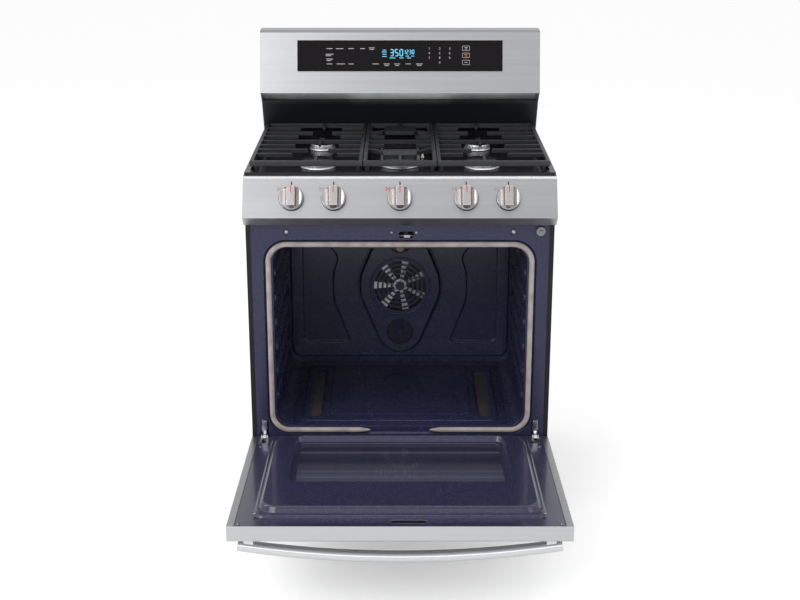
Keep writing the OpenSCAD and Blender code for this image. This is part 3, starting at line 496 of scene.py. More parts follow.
CHROME = metal("chrome", (0.55, 0.56, 0.60, 1), 0.16, 90.0, 0.02)
ALUMINIUM = metal("cast_aluminium", (0.74, 0.74, 0.75, 1), 0.34, 1500.0, 0.25)
BLADE = metal("fan_aluminium", (0.60, 0.60, 0.62, 1), 0.50, 900.0, 0.10, 0.35)
SCREW = metal("screw_steel", (0.30, 0.30, 0.33, 1), 0.30, 400.0, 0.05)
BURNT = metal("burnt_steel", (0.10, 0.085, 0.075, 1), 0.55, 300.0, 0.20, 0.6)
PLUNGER = metal("grey_plastic", (0.16, 0.16, 0.18, 1), 0.45, 500.0, 0.05, 0.0)
BRASS = metal("brass", (0.72, 0.55, 0.26, 1), 0.28, 400.0, 0.05)
GALVANISED = metal("galvanised_sheet", (0.50, 0.52, 0.54, 1), 0.42, 60.0, 0.05)
IRON = metal("cast_iron", (0.013, 0.0135, 0.017, 1), 0.40, 1300.0, 0.30, 0.0)
BLACK_PAINT = enamel("black_paint", (0.006, 0.006, 0.007, 1), (0.02, 0.02, 0.022, 1), 0.10,
                     500.0, 0.42, 0.010, 0.0, 0.20)
RUBBER = metal("black_plastic", (0.02, 0.02, 0.022, 1), 0.60, 900.0, 0.15, 0.0)
# A dark metal used only where shade and a dark reflection are painted on the knobs.
SHADE_TRIM = metal("painted_shade_trim", (0.10, 0.10, 0.11, 1), 0.22, 200.0, 0.04)

# %% Glass, ceramic and prints


def glass(name, base, transmission, rough, level=0.5):
    material, tree, bsdf = shader(name, Metallic=0.0, IOR=1.5, Transmission_Weight=transmission,
                                  Specular_IOR_Level=level)
    cloud = use(tree, CLOUD, Per_Metre=9.0, Low=0.0, High=1.0)
    dark = tuple(c*0.85 for c in base[:3]) + (1.0,)
    tree.links.new(mix_colour(tree, cloud.outputs[0], dark, base), bsdf.inputs["Base Color"])
    smear = use(tree, CLOUD, Per_Metre=14.0, Low=rough, High=rough + 0.04)
    tree.links.new(smear.outputs[0], bsdf.inputs["Roughness"])
    return material


BLACK_GLASS = glass("black_glass", (0.006, 0.005, 0.006, 1), 0.0, 0.05, 0.13)
LAMP_GLASS = glass("lamp_glass", (0.9, 0.88, 0.82, 1), 0.6, 0.10)
CERAMIC = metal("white_ceramic", (0.82, 0.80, 0.76, 1), 0.30, 500.0, 0.04, 0.0)


def printed(name, ink, glow=0.0):
    material, tree, bsdf = shader(name, Metallic=0.0, Roughness=0.45)
    cloud = use(tree, CLOUD, Per_Metre=300.0, Low=0.0, High=1.0)
    faded = tuple(c*0.8 for c in ink[:3]) + (1.0,)
    colour = mix_colour(tree, cloud.outputs[0], faded, ink)
    tree.links.new(colour, bsdf.inputs["Base Color"])
    if glow:
        tree.links.new(colour, bsdf.inputs["Emission Color"])
        bsdf.inputs["Emission Strength"].default_value = glow
    return material


INK_BLACK = printed("ink_black", (0.012, 0.012, 0.014, 1))
INK_RED = printed("ink_red", (0.45, 0.02, 0.02, 1))
INK_GREY = printed("ink_grey", (0.22, 0.22, 0.24, 1))
# The two label inks glow faintly: painted brightness on print. The display's glow is its own light.
LABEL_GREY = printed("label_grey", (0.34, 0.33, 0.33, 1), 0.25)
LABEL_RED = printed("label_red", (0.55, 0.08, 0.05, 1), 0.35)
DISPLAY_BLUE = printed("display_blue", (0.10, 0.42, 0.62, 1), 0.9)

# %% [markdown]
# The oven window is a stack of panes in dark frames. Seen from inside it is a row of bands
# that run across the glass, lighter towards the handle; a colour ramp along its depth paints them,
# partly the frames' own dark and partly painted reflection and shade of the panes.

# %% Window glass


def glass_with_painted_bands(front, back):
    material, tree, bsdf = shader("window_glass", Metallic=0.0, IOR=1.5, Coat_Weight=0.4,
                                  Coat_Roughness=0.05)
    where = put(tree, "ShaderNodeTexCoord")
    split = put(tree, "ShaderNodeSeparateXYZ")
    tree.links.new(where.outputs["Object"], split.inputs[0])
    along = put(tree, "ShaderNodeMapRange")
    along.inputs["From Min"].default_value = back
    along.inputs["From Max"].default_value = front
    tree.links.new(split.outputs[1], along.inputs["Value"])
    ramp = put(tree, "ShaderNodeValToRGB")
    # The light stops are painted reflection from the panes and the dark stops painted shade, with
    # the frames' own dark among them.
    stops = [(0.0, 0.020), (0.05, 0.012), (0.22, 0.020), (0.25, 0.075), (0.28, 0.028),
             (0.40, 0.018), (0.47, 0.020), (0.55, 0.040), (0.64, 0.044), (0.67, 0.070),
             (0.71, 0.046), (0.80, 0.072), (0.84, 0.052), (1.0, 0.078)]
    while len(ramp.color_ramp.elements) < len(stops):
        ramp.color_ramp.elements.new(0.5)
    for element, (spot, value) in zip(ramp.color_ramp.elements, stops):
        element.position = spot
        element.color = (value, value*1.02, value*1.35 + 0.012, 1)
    tree.links.new(along.outputs[0], ramp.inputs[0])
    tree.links.new(ramp.outputs[0], bsdf.inputs["Base Color"])
    smear = use(tree, CLOUD, Per_Metre=14.0, Low=0.16, High=0.22)
    tree.links.new(smear.outputs[0], bsdf.inputs["Roughness"])
    return material


WINDOW_GLASS = glass_with_painted_bands(low("door_inner_glass").y, high("door_inner_glass").y)

# %% Woven gasket and wool blanket


def woven():
    material, tree, bsdf = shader("gasket_fibre", Metallic=0.0, Roughness=0.85, Sheen_Weight=0.3)
    where = put(tree, "ShaderNodeTexCoord")
    turned = []
    for angle in (45, -45):
        turn = put(tree, "ShaderNodeMapping")
        turn.inputs["Rotation"].default_value = (0, math.radians(angle), 0)
        tree.links.new(where.outputs["Object"], turn.inputs["Vector"])
        wave = put(tree, "ShaderNodeTexWave", wave_type="BANDS", bands_direction="X")
        wave.inputs["Scale"].default_value = 95.0
        wave.inputs["Distortion"].default_value = 1.2
        wave.inputs["Detail"].default_value = 1.0
        tree.links.new(turn.outputs[0], wave.inputs["Vector"])
        turned.append(wave.outputs[1])
    weave = math_node(tree, "MULTIPLY", turned[0], turned[1])
    cloud = use(tree, CLOUD, Per_Metre=35.0, Low=0.35, High=0.9)
    shade = math_node(tree, "MULTIPLY", math_node(tree, "ADD", weave, 0.55), cloud.outputs[0], True)
    colour = mix_colour(tree, shade, (0.12, 0.10, 0.095, 1), (0.42, 0.37, 0.36, 1))
    tree.links.new(colour, bsdf.inputs["Base Color"])
    bump(tree, bsdf, weave, 0.5, 0.0008)
    return material


GASKET = woven()
WOOL = metal("wool_blanket", (0.78, 0.70, 0.45, 1), 0.85, 220.0, 0.6, 0.0)

# %% Finishes for the parts whose shape is already right
BY_FINISH = {
    BLACK_PAINT: ["side_panels", "drawer_box"],
    GALVANISED: ["back_panel", "base_pan", "burner_box", "fan_motor", "lock_motor", "drawer_rails",
                 "hinge_channels", "backguard_rear"],
    BURNT: ["bake_burner", "broil_burner"],
    PLUNGER: ["door_switch"],
    RUBBER: ["leveling_feet"],
    NAVY: ["front_frame", "oven_cavity", "oven_floor", "fan_cover", "door_inner_panel"],
    SCREW: ["frame_screws", "lock_hook", "door_screws"],
    CHROME: ["oven_sensor", "hinge_arms", "knob_bezels"] + [f"valve_stem_{i}" for i in range(1, 6)],
    ALUMINIUM: ["gas_manifold", "burner_tubes", "burner_heads", "fan_wheel"],
    WOOL: ["oven_insulation"],
    GASKET: ["door_gasket"],
    LAMP_GLASS: ["oven_lamp"],
    STEEL: ["door_skin", "control_panel", "backguard", "drawer_front"],
    BAR_STEEL: ["door_handle", "handle_mounts"],
    KNOB_STEEL: [f"knob_{i}" for i in range(1, 6)],
    WINDOW_GLASS: ["door_inner_glass"],
    BLACK_GLASS: ["door_outer_glass", "touch_panel"],
    BLACK_ENAMEL: ["hob_pan", "burner_caps", "vent_trim"],
    BRASS: ["valve_bodies", "gas_regulator"],
    CERAMIC: ["spark_electrodes"],
    IRON: ["grate_left", "grate_middle", "grate_right"],
}
for material, members in BY_FINISH.items():
    for member in members:
        finish(member, material)
unfinished = set(nodes) - {m for ms in BY_FINISH.values() for m in ms}
print("parts with no finish:", sorted(unfinished))

# %% [markdown]
# The front frame is one enamelled blank. The recess that holds the gasket is pressed 5 mm in,
# the mouth is rolled into the oven, and the holes for the hinges, the lock, the light switch
# and the screws are left out of the blank when the flat area is filled between its edges.

# %% Front frame


def disc_face(bm, radius, x, z, y):
    """A round face that looks at the viewer."""
    made = bmesh.ops.create_circle(bm, cap_ends=True, segments=24, radius=radius,
                                   matrix=upright(x, y, z))
    return made["verts"][0].link_faces[0]


def notched_blank(bm, y):
    """The frame's outline, with a notch at the foot for each hinge."""
    foot, top, notch = frame_bottom, frame_top, 272*MM
    right = [(336.5*MM, foot), (336.5*MM, notch), (354.5*MM, notch), (354.5*MM, foot),
             (frame_half, foot), (frame_half, top)]
    left = [(-x, z) for x, z in reversed(right)]
    return open_face(bm, face_loop(bm, [(x, y, z) for x, z in right + left]))


def front_frame():
    bm = bmesh.new()
    outline = notched_blank(bm, face_y)
    edges = list(outline)
    recess = rounded_panel(bm, 338*MM, 232*MM, 749*MM, face_y, 58*MM, segments=14)
    recess, rim = recessed(bm, recess, draft(5.5, -5.0, 6))
    edges += rim
    for x in (-278, 278):
        dimple = disc_face(bm, 10.5*MM, x*MM, 768*MM, face_y)
        dimple, rim = recessed(bm, dimple, [(0.6, 0.5), (0.8, 0.1), (0.9, -0.5), (1.2, -1.6),
                                            (0.8, -0.4)])
        edges += rim
    for x in (-20.6, 39.6):
        hole = disc_face(bm, 5*MM, x*MM, 767*MM, face_y)
        hole, rim = recessed(bm, hole, [(0.5, -0.2), (0.6, -0.8)])
        edges += rim
    slot = rounded_panel(bm, 19*MM, 752*MM, 770*MM, face_y, 6*MM, 15.5*MM, 5)
    slot, rim = recessed(bm, slot, [(0.6, -0.3), (0.6, -1.4)])
    edges += rim
    open_face(bm, slot)
    switch = disc_face(bm, 6.2*MM, 344*MM, 772*MM, face_y)
    edges += open_face(bm, switch)
    floor_edges = open_face(bm, recess)
    mouth = rounded_panel(bm, 315*MM, 252*MM, 730*MM, face_y + 5*MM, 40*MM, segments=12)
    mouth, rim = recessed(bm, mouth, [(0.4, -0.3), (0.6, -0.9), (0.4, -1.6), (0.1, -2.4),
                                      (0.1, -3.0)])
    floor_edges += rim
    open_face(bm, mouth)
    fill_between(bm, edges)
    fill_between(bm, floor_edges)
    drawn_out(bm, outline, (0, 10*MM, 0))
    outward(bm)
    return piece("enamelled_frame", bm, NAVY, "chassis", ["front_frame"],
                 wall=1.1*MM, bevel=0.7*MM, smooth=50)


front = front_frame()
print("front frame has", len(front.data.polygons), "faces")

# %% [markdown]
# The screws are all alike: a low domed head, spun from its profile, with the middle pushed in
# where the driver goes.

# %% Screws


def screw_heads(name, places, body, stands_for, matrix=None):
    """Pan heads at (x, y, z, radius); each looks at the viewer before it is placed."""
    bm = bmesh.new()
    for x, y, z, radius in places:
        head = bmesh.new()
        lathe(head, [(0, 1.9*MM), (radius*0.45, 1.75*MM), (radius*0.8, 1.2*MM), (radius, 0.35*MM),
                     (radius, -0.6*MM), (0, -0.6*MM)], 20)
        middle = [v for v in head.verts if v.co.z > 0 and v.co.xy.length < radius*0.2]
        bmesh.ops.translate(head, vec=(0, 0, -0.8*MM), verts=middle)
        place(head, upright(x, y, z))
        outward(head)
        joined(bm, head)
    if matrix:
        place(bm, matrix)
    return piece(name, bm, SCREW, body, stands_for, bevel=0.15*MM)


screw_heads("frame_screw_heads",
            [(x*MM, face_y + sunk*MM, z*MM, radius*MM) for x, sunk, z, radius in
             ((-278, 1.6, 768, 5), (278, 1.6, 768, 5),
              (-20.6, 0.6, 767, 3.4), (39.6, 0.6, 767, 3.4))],
            "chassis", ["frame_screws"])

# %% [markdown]
# The oven liner is a rounded box that is open to the front. Its back wall carries a raised
# plate, and the plate has a sunken field on each side that bends round the fan cover.

# %% Oven liner
BACK = cavity_back - 0.2*MM


def side_field(bm, side, y):
    """The sunken field beside the fan, with its curved inner side."""
    corners = [(-276, 311), (-136, 311), (-185, 440), (-185, 522), (-168, 566), (-196, 602),
               (-276, 602)]
    if side > 0:
        corners = [(-x, z) for x, z in reversed(corners)]
    face = face_loop(bm, [(x*MM, y, z*MM) for x, z in corners])
    return round_corners(bm, face, 19*MM, 5)


def liner_back(bm):
    wall = rounded_panel(bm, cavity_half, cavity_bottom, cavity_top, BACK, 40*MM, segments=10)
    loop = open_face(bm, wall)
    edges = list(loop)
    plate = rounded_panel(bm, 309*MM, 268*MM, 728*MM, BACK, 26*MM, segments=8)
    plate, rim = recessed(bm, plate, draft(5, 5, 4))
    edges += rim
    plate_y = plate.verts[0].co.y
    plate_edges = open_face(bm, plate)
    for side in (-1, 1):
        field = side_field(bm, side, plate_y)
        field, rim = recessed(bm, field, draft(6, -4, 4))
        plate_edges += rim
    fill_between(bm, edges)
    fill_between(bm, plate_edges)
    return loop


def oven_liner():
    bm = bmesh.new()
    rim = liner_back(bm)
    for depth in (6.0, 40.0, cavity_back/MM - face_y/MM - 6.2 - 46.0):
        rim = [e for e in drawn_out(bm, rim, (0, -depth*MM, 0))[1] if e.is_boundary]
    outward(bm)
    bmesh.ops.reverse_faces(bm, faces=bm.faces)
    return bm


liner_bm = oven_liner()
facing = [f for f in liner_bm.faces if abs(f.normal.y) > 0.99 and f.calc_area() > 0.001]
if sum(f.normal.y*f.calc_area() for f in facing) > 0:
    bmesh.ops.reverse_faces(liner_bm, faces=liner_bm.faces)
piece("oven_liner", liner_bm, NAVY, "chassis", ["oven_cavity"], wall=0.9*MM,
      bevel=1.2*MM, smooth=50)
print("liner reaches back to", round(BACK, 4))

# %% [markdown]
# Each side wall has six rack supports. The left ones are drawn on the wall they belong to,
# and the right ones are the same row turned half round about the middle of the oven.

# %% Rack supports


def rack_supports(side):
    bm = bmesh.new()
    y0, y1 = face_y + 38*MM, cavity_back - 34*MM
    for level in range(6):
        z = cavity_bottom + (70 + level*66)*MM
        z0, z1 = z - 15*MM, z + 15*MM
        face = face_loop(bm, [(0, y0, z0), (0, y1, z0), (0, y1, z1), (0, y0, z1)])
        face = round_corners(bm, face, 14*MM, 6)
        if face.normal.x < 0:
            face.normal_flip()
        press(bm, face, [(0.6, 0.6), (1.4, 2.2), (2.2, 2.0), (2.6, 1.2), (3.0, 0.6)])
    place(bm, Matrix.Translation((-cavity_half, 0, 0)))
    if side > 0:
        bmesh.ops.rotate(bm, cent=(0, (y0 + y1)/2, 0), verts=bm.verts,
                         matrix=Matrix.Rotation(math.pi, 3, "Z"))
    return piece(f"rack_supports_{side_name(side)}", bm, NAVY, "chassis", smooth=60)


for side in (-1, 1):
    rack_supports(side)

# %% [markdown]
# The oven floor lifts out. It has two raised fields, one inside the other, and a long slot on
# each side in a shallow trough, where the heat of the burner below comes through.

# %% Oven floor
FLOOR_SLOTS = (-220, 220)


def oven_floor():
    bm = bmesh.new()
    y = face_y
    z = cavity_bottom + 1.2*MM
    blank = rounded_plate(bm, -273*MM, 273*MM, y + 7.2*MM, cavity_back - 1*MM, z, 4*MM, 2)
    edges = open_face(bm, blank)
    outer = rounded_plate(bm, -256*MM, 256*MM, y + 39*MM, y + 465*MM, z, 20*MM, 6)
    outer, rim = recessed(bm, outer, draft(4, 2.6, 4))
    edges += rim
    raised = outer.verts[0].co.z
    inner_edges = open_face(bm, outer)
    middle = rounded_plate(bm, -187*MM, 187*MM, y + 77*MM, y + 430*MM, raised, 14*MM, 5)
    middle, rim = recessed(bm, middle, draft(4, 2.2, 4))
    inner_edges += rim
    for x in FLOOR_SLOTS:
        trough = rounded_plate(bm, (x - 21)*MM, (x + 21)*MM, y + 68*MM, y + 404*MM, raised,
                               19*MM, 8)
        trough, rim = recessed(bm, trough, draft(9, -3.4, 5) + [(0.8, -0.3), (0.6, -1.2)])
        inner_edges += rim
        open_face(bm, trough)
    fill_between(bm, edges)
    fill_between(bm, inner_edges)
    looking(bm, 2, 1)
    return piece("oven_floor_plate", bm, NAVY, "chassis", ["oven_floor"],
                 wall=1.0*MM, bevel=0.5*MM, smooth=50)


floor_plate = oven_floor()
print("oven floor has", len(floor_plate.data.polygons), "faces")

# %% [markdown]
# A scorched strip lies under each slot of the floor, for the burner that shows through it.

# %% Strips under the slots
slots = bmesh.new()
for x in FLOOR_SLOTS:
    rounded_plate(slots, (x - 13)*MM, (x + 13)*MM, face_y + 76*MM, face_y + 396*MM,
                  cavity_bottom + 0.9*MM, 12*MM, 6)
piece("burner_slots", slots, BURNT, "chassis", wall=0.3*MM)
print("strips made:", len(FLOOR_SLOTS))

# %% [markdown]
# The fan cover is a lozenge with round ends. Six corners are enough: rounding each by the length
# of its own tangent gives arcs that run into each other.
# Each grille is a spun fan of faces, the slots are deleted from it, and turning every ring a
# little more than the last bends the spokes.

# %% Fan cover
FAN_Z, FAN_APART = 486*MM, 135*MM  # centre of the fan, and from there to each small grille
RING_SHARE = 0.62  # how much of a ring's pitch is slot


def grille(bm, radius_in, radius_out, rings, spokes, columns, twist, x, z, y):
    """A slotted disc. Returns its outer edges."""
    pitch = (radius_out - radius_in)/rings
    radii = [radius_in*0.02, radius_in]
    for ring in range(rings):
        radii += [radius_in + (ring + RING_SHARE)*pitch, radius_in + (ring + 1)*pitch]
    disc = bmesh.new()
    lathe(disc, [(r, 0) for r in radii], columns)
    every = 2*math.pi/spokes
    slots = []
    for f in disc.faces:
        centre = f.calc_center_median()
        ring = (centre.xy.length - radius_in)/pitch
        across = math.atan2(centre.y, centre.x) % every
        if 0 < ring % 1.0 < RING_SHARE and ring > 0 and across > 1.4*2*math.pi/columns:
            slots.append(f)
    bmesh.ops.delete(disc, geom=slots, context="FACES")
    for v in disc.verts:
        turn = Matrix.Rotation(twist*v.co.xy.length/radius_out, 3, "Z")
        v.co = turn @ v.co
    place(disc, upright(x, y, z))
    old = set(bm.edges)
    joined(bm, disc)
    middle = Vector((x, y, z))
    return [e for e in bm.edges if e not in old and e.is_boundary
            and all((v.co - middle).length > radius_out*0.995 for v in e.verts)]


def lozenge(bm, big, small, y):
    """The cover's outline: a big middle circle, and a small one above and below it."""
    z = FAN_Z
    lean = math.asin((big - small)/FAN_APART)
    reach, end = big/math.cos(lean), FAN_APART + small
    tip = small*math.tan((math.pi/2 - lean)/2)
    face = face_loop(bm, [(reach, y, z), (tip, y, z + end), (-tip, y, z + end), (-reach, y, z),
                          (-tip, y, z - end), (tip, y, z - end)])
    for height, offset in ((0, big*math.tan(lean)), (end, 0.98*tip)):
        corners = [v for v in face.verts if abs(abs(v.co.z - z) - height) < 1e-5]
        others = set(bm.faces) - {face}
        bmesh.ops.bevel(bm, geom=corners, offset=offset, segments=14, profile=0.5,
                        affect="VERTICES", material=-1)
        face = [f for f in bm.faces if f not in others][0]
    if face.normal.y > 0:
        face.normal_flip()
    return face


def fan_cover():
    bm = bmesh.new()
    face = lozenge(bm, 121*MM, 69*MM, BACK - 4*MM)
    face = press(bm, face, [(0.6, 1.6), (1.2, 0.8), (2.6, 0.2), (0.5, 0.5)] + draft(5.5, 17.2, 6))
    top_y = face.verts[0].co.y
    edges = open_face(bm, face)
    edges += grille(bm, 13*MM, 78*MM, 5, 8, 96, -0.5, 0, FAN_Z, top_y)
    for side in (-1, 1):
        edges += grille(bm, 6*MM, 40*MM, 5, 8, 64, 0.3, 0, FAN_Z + side*FAN_APART, top_y)
    fill_between(bm, edges)
    outward(bm)
    looking(bm, 1, -1)
    made = piece("fan_cover_pressing", bm, NAVY, "chassis", ["fan_cover"],
                 wall=1.0*MM, bevel=0.35*MM, smooth=45)
    ring = bmesh.new()
    lathe(ring, [(80*MM, 0), (81*MM, 1.4*MM), (83*MM, 2.2*MM), (85*MM, 1.4*MM), (86*MM, 0)], 96)
    place(ring, upright(0, top_y + 0.2*MM, FAN_Z))
    looking(ring, 1, -1)
    piece("fan_cover_ring", ring, NAVY, "chassis", smooth=60)
    return made, top_y


cover, cover_y = fan_cover()
print("fan cover face at", round(cover_y, 4), "with", len(cover.data.polygons), "faces")

# %% [markdown]
# Behind the grilles lies a dark sheet of the same outline, 13 mm smaller all round: painted
# shade for the hollow behind the cover, so that nothing pale shows through the slots.

# %% Painted shade behind the cover
fan_shade = bmesh.new()
lozenge(fan_shade, 108*MM, 56*MM, BACK - 5.6*MM)
fan_shade_sheet = piece("painted_fan_shade", fan_shade, VENT_ENAMEL, "chassis", wall=0.3*MM)
print("dark sheet has", len(fan_shade_sheet.data.polygons), "face")

# %% [markdown]
# Behind the grille turns a pressed fan wheel. One pitched blade is drawn and copied round the
# axis, and a spun hub holds the seven together.

# %% Fan wheel


def fan_wheel():
    bm = bmesh.new()
    lathe(bm, [(0, 5.5*MM), (5*MM, 5.5*MM), (6*MM, 4*MM), (6*MM, 1.5*MM), (17*MM, 1*MM), (18*MM, 0),
               (17*MM, -1*MM), (0, -1*MM)], 32)
    blade = bmesh.new()
    bmesh.ops.create_grid(blade, x_segments=6, y_segments=3, size=0.5)
    reach, root = 60*MM, 14*MM
    bmesh.ops.scale(blade, vec=(reach, 17*MM, 1), verts=blade.verts)
    bmesh.ops.translate(blade, vec=(root + reach/2, 0, 0), verts=blade.verts)
    for v in blade.verts:
        out = (v.co.x - root)/reach
        v.co.y *= 0.45 + 0.75*out
        v.co.z += v.co.y*0.28 - 2.2*MM*out*out
    bmesh.ops.solidify(blade, geom=blade.faces, thickness=1.0*MM)
    bmesh.ops.spin(blade, geom=blade.verts[:] + blade.edges[:] + blade.faces[:], cent=(0, 0, 0),
                   axis=(0, 0, 1), angle=2*math.pi*6/7, steps=6, use_duplicate=True)
    joined(bm, blade)
    place(bm, upright(0, cover_y + 9.5*MM, FAN_Z) @ Matrix.Rotation(0.45, 4, "Z"))
    bmesh.ops.recalc_face_normals(bm, faces=bm.faces)
    return piece("fan_blades", bm, BLADE, "fan", ["fan_wheel"], bevel=0.3*MM)


wheel = fan_wheel()
print("fan wheel has", len(wheel.data.polygons), "faces")

# %% [markdown]
# The door gasket is a braided tube that lies in the recess and stops short at the foot. A
# curve follows its path, thins to a point at both ends, and is then made a mesh.

# %% Door gasket


def add_curve(bm, curve, matrix):
    """Turns a curve or a text into a mesh, moves it, and adds it to a bmesh."""
    holder = bpy.data.objects.new(curve.name, curve)
    bpy.context.scene.collection.objects.link(holder)
    bpy.context.view_layer.update()
    evaluated = holder.evaluated_get(bpy.context.evaluated_depsgraph_get())
    mesh = bpy.data.meshes.new_from_object(evaluated)
    bpy.data.objects.remove(holder)
    mesh.transform(matrix)
    bm.from_mesh(mesh)
    bpy.data.meshes.remove(mesh)


def gasket():
    half, foot, top, bend = 324.6, 244.8, 737.3, 45  # millimetres
    y = face_y - 1.3*MM
    curve = bpy.data.curves.new("gasket_path", "CURVE")
    curve.dimensions = "3D"
    curve.bevel_depth = 6.3*MM
    curve.bevel_resolution = 6
    curve.use_fill_caps = True
    curve.resolution_u = 10
    stops = [(75, foot, 0.12), (84, foot, 0.55), (104, foot, 1.0), (half - bend, foot, 1.0),
             (half, foot + bend, 1.0), (half, top - bend, 1.0), (half - bend, top, 1.0)]
    stops += [(-x, z, r) for x, z, r in reversed(stops)]
    line = curve.splines.new("BEZIER")
    line.bezier_points.add(len(stops) - 1)
    for point, (x, z, radius) in zip(line.bezier_points, stops):
        point.co = (x*MM, y, z*MM)
        point.radius = radius
        point.handle_left_type = point.handle_right_type = "VECTOR"
    pull = 0.5523*bend*MM  # handles of this length make a quarter circle
    for a, b in ((3, 4), (5, 6), (7, 8), (9, 10)):
        first, second = line.bezier_points[a], line.bezier_points[b]
        corner = Vector((math.copysign(half*MM, first.co.x + second.co.x), y,
                         (foot if (first.co.z + second.co.z)/2 < 400*MM else top)*MM))
        first.handle_right_type = second.handle_left_type = "FREE"
        first.handle_right = first.co + (corner - first.co).normalized()*pull
        second.handle_left = second.co + (corner - second.co).normalized()*pull
    bm = bmesh.new()
    add_curve(bm, curve, Matrix.Identity(4))
    outward(bm)
    return piece("braided_gasket", bm, GASKET, "chassis", ["door_gasket"],
                 smooth=80)


braid = gasket()
print("gasket has", len(braid.data.polygons), "faces")

# %% [markdown]
# The door is drawn closed, where its pressings are upright, and then folded open about the
# hinge. Its liner is one enamelled sheet with two steps, a deep window recess, a latch trough
# and a rolled free edge; the steps' rounded shoulders catch the light as thin bright lines.

# %% Door liner
door_face = face_y - 14*MM


def toward_oven(face):
    face.normal_flip()
    face.normal_update()
    return face


def door_liner():
    bm = bmesh.new()
    y = door_face
    half, foot, end = 361.2*MM, 219*MM, 784*MM
    notch = 272*MM
    right = [(333*MM, foot), (333*MM, notch), (358*MM, notch), (358*MM, foot), (half, foot),
             (half, end)]
    left = [(-x, z) for x, z in reversed(right)]
    outline = open_face(bm, face_loop(bm, [(x, y, z) for x, z in right + left]))
    edges = list(outline)
    step = toward_oven(rounded_panel(bm, 326*MM, 240*MM, 743*MM, y, 24*MM, segments=8))
    step, rim = recessed(bm, step, [(0.5, 0.3), (1.0, 1.9), (1.2, 2.4), (1.4, 1.1), (1.6, 0.3)])
    edges += rim
    trough = toward_oven(rounded_panel(bm, 43*MM, 751*MM, 771*MM, y, 9*MM, 20*MM, 6))
    trough, rim = recessed(bm, trough, [(0.5, 0.5), (0.8, 0.1), (0.8, -0.6), (1.6, -2.0),
                                        (0.8, -0.6), (3.0, -0.1), (0.6, -0.5), (0.4, -2.2)])
    edges += rim
    step_y = step.verts[0].co.y
    step_edges = open_face(bm, step)
    plateau = toward_oven(rounded_panel(bm, 317*MM, 262*MM, 728*MM, step_y, 44*MM, segments=10))
    plateau, rim = recessed(bm, plateau, [(0.8, 0.7), (1.4, 3.2), (1.6, 3.8), (1.8, 3.4),
                                          (1.6, 1.9), (1.6, 0.8), (1.6, 0.2)])
    step_edges += rim
    plateau_y = plateau.verts[0].co.y
    plateau_edges = open_face(bm, plateau)
    window = toward_oven(rounded_panel(bm, 262*MM, 272*MM, 577*MM, plateau_y, 23*MM, segments=8))
    window, rim = recessed(bm, window, [(0.8, -0.4), (1.2, -1.6), (1.6, -4.0), (1.6, -4.4),
                                        (1.2, -2.4), (1.2, -1.0), (8.0, -0.4), (0.6, -0.3),
                                        (0.3, -0.9)])
    plateau_edges += rim
    print("window recess is", round((plateau_y - window.verts[0].co.y)/MM, 1), "mm deep")
    open_face(bm, window)
    fill_between(bm, edges)
    fill_between(bm, step_edges)
    fill_between(bm, plateau_edges)
    drawn_out(bm, outline, (0, -4.5*MM, 0))
    outward(bm)
    looking(bm, 1, 1)
    place(bm, FOLD)
    return piece("door_liner", bm, DOOR_NAVY, "door", ["door_inner_panel"],
                 wall=1.1*MM, bevel=1.1*MM, smooth=50)


door_liner()

# %% [markdown]
# The screws of the door look the other way, towards the oven, so they are drawn mirrored
# before they fold out with the door. The latch plate is a bar and a thin flange.

# %% Door screws and latch plate
screw_heads("door_screw_heads",
            [(s*x*MM, -(door_face + lift*MM), z*MM, r*MM) for s in (-1, 1)
             for x, z, lift, r in ((321, 731, 6.4, 4), (353, 775, 0.6, 4), (349, 300, 0.6, 3.2))],
            "door", ["door_screws"],
            FOLD @ Matrix.Scale(-1, 4, (0, 1, 0)))

latch_bm = bmesh.new()
for x0, x1, out, back, z0, z1, soft in ((6, 37, 3.6, 2.2, 757, 766, 0.5),
                                        (-6, 50, 3.4, 2.4, 753.6, 755.4, 0.3)):
    block(latch_bm, (x0*MM, door_face - out*MM, z0*MM),
          (x1*MM, door_face - back*MM, z1*MM), soft*MM)
place(latch_bm, FOLD)
piece("latch_plate", latch_bm, CHROME, "door")

# %% [markdown]
# Along each side of the liner runs the edge of the door's vents, a row of small dark teeth
# on a rail. One tooth is copied up the side by a spin of no turn that only steps along.

# %% Vent teeth


def vent_teeth(side):
    bm = bmesh.new()
    x = side*363.6*MM
    block(bm, (x - 1.0*MM, door_face - 3*MM, 276*MM), (x + 1.0*MM, door_face - 0.8*MM, 279.4*MM))
    made = bm.verts[:] + bm.edges[:] + bm.faces[:]
    bmesh.ops.spin(bm, geom=made, axis=(0, 0, 1), dvec=(0, 0, 7.2*MM), angle=0.0, steps=69,
                   use_duplicate=True)
    block(bm, (x - 1.2*MM, door_face - 5*MM, 274*MM), (x + 1.2*MM, door_face - 2.6*MM, 783*MM))
    place(bm, FOLD)
    bmesh.ops.recalc_face_normals(bm, faces=bm.faces)
    return piece(f"vent_teeth_{side_name(side)}", bm, BLACK_PAINT, "door")


for side in (-1, 1):
    vent_teeth(side)

# %% [markdown]
# The steel parts of the door and the drawer have the right shape already. Each gets a merged
# copy whose sharp edges are eased by the width given.

# %% Steel door panel, handle and mounts
eased("door_skin", "door_skin_panel", STEEL, "door", 1.2*MM)
eased("door_handle", "handle_bar", BAR_STEEL, "door", 0.4*MM, clean=0.1)
eased("handle_mounts", "handle_posts", BAR_STEEL, "door", 0.8*MM, clean=0.1)
eased("drawer_front", "drawer_panel", STEEL, "drawer", 1.2*MM)

# %% [markdown]
# Knobs sit square to the sloping control panel, so each is made upright and then stood on the
# panel. The skirt is spun with a hollow crown; the bar is a taller spun disc cut down to its
# middle strip by two planes, which leaves rounded ends, with a sloping cut at its lower end.

# %% Knobs
KNOB_X = (-262*MM, -160*MM, 0.0, 160*MM, 262*MM)


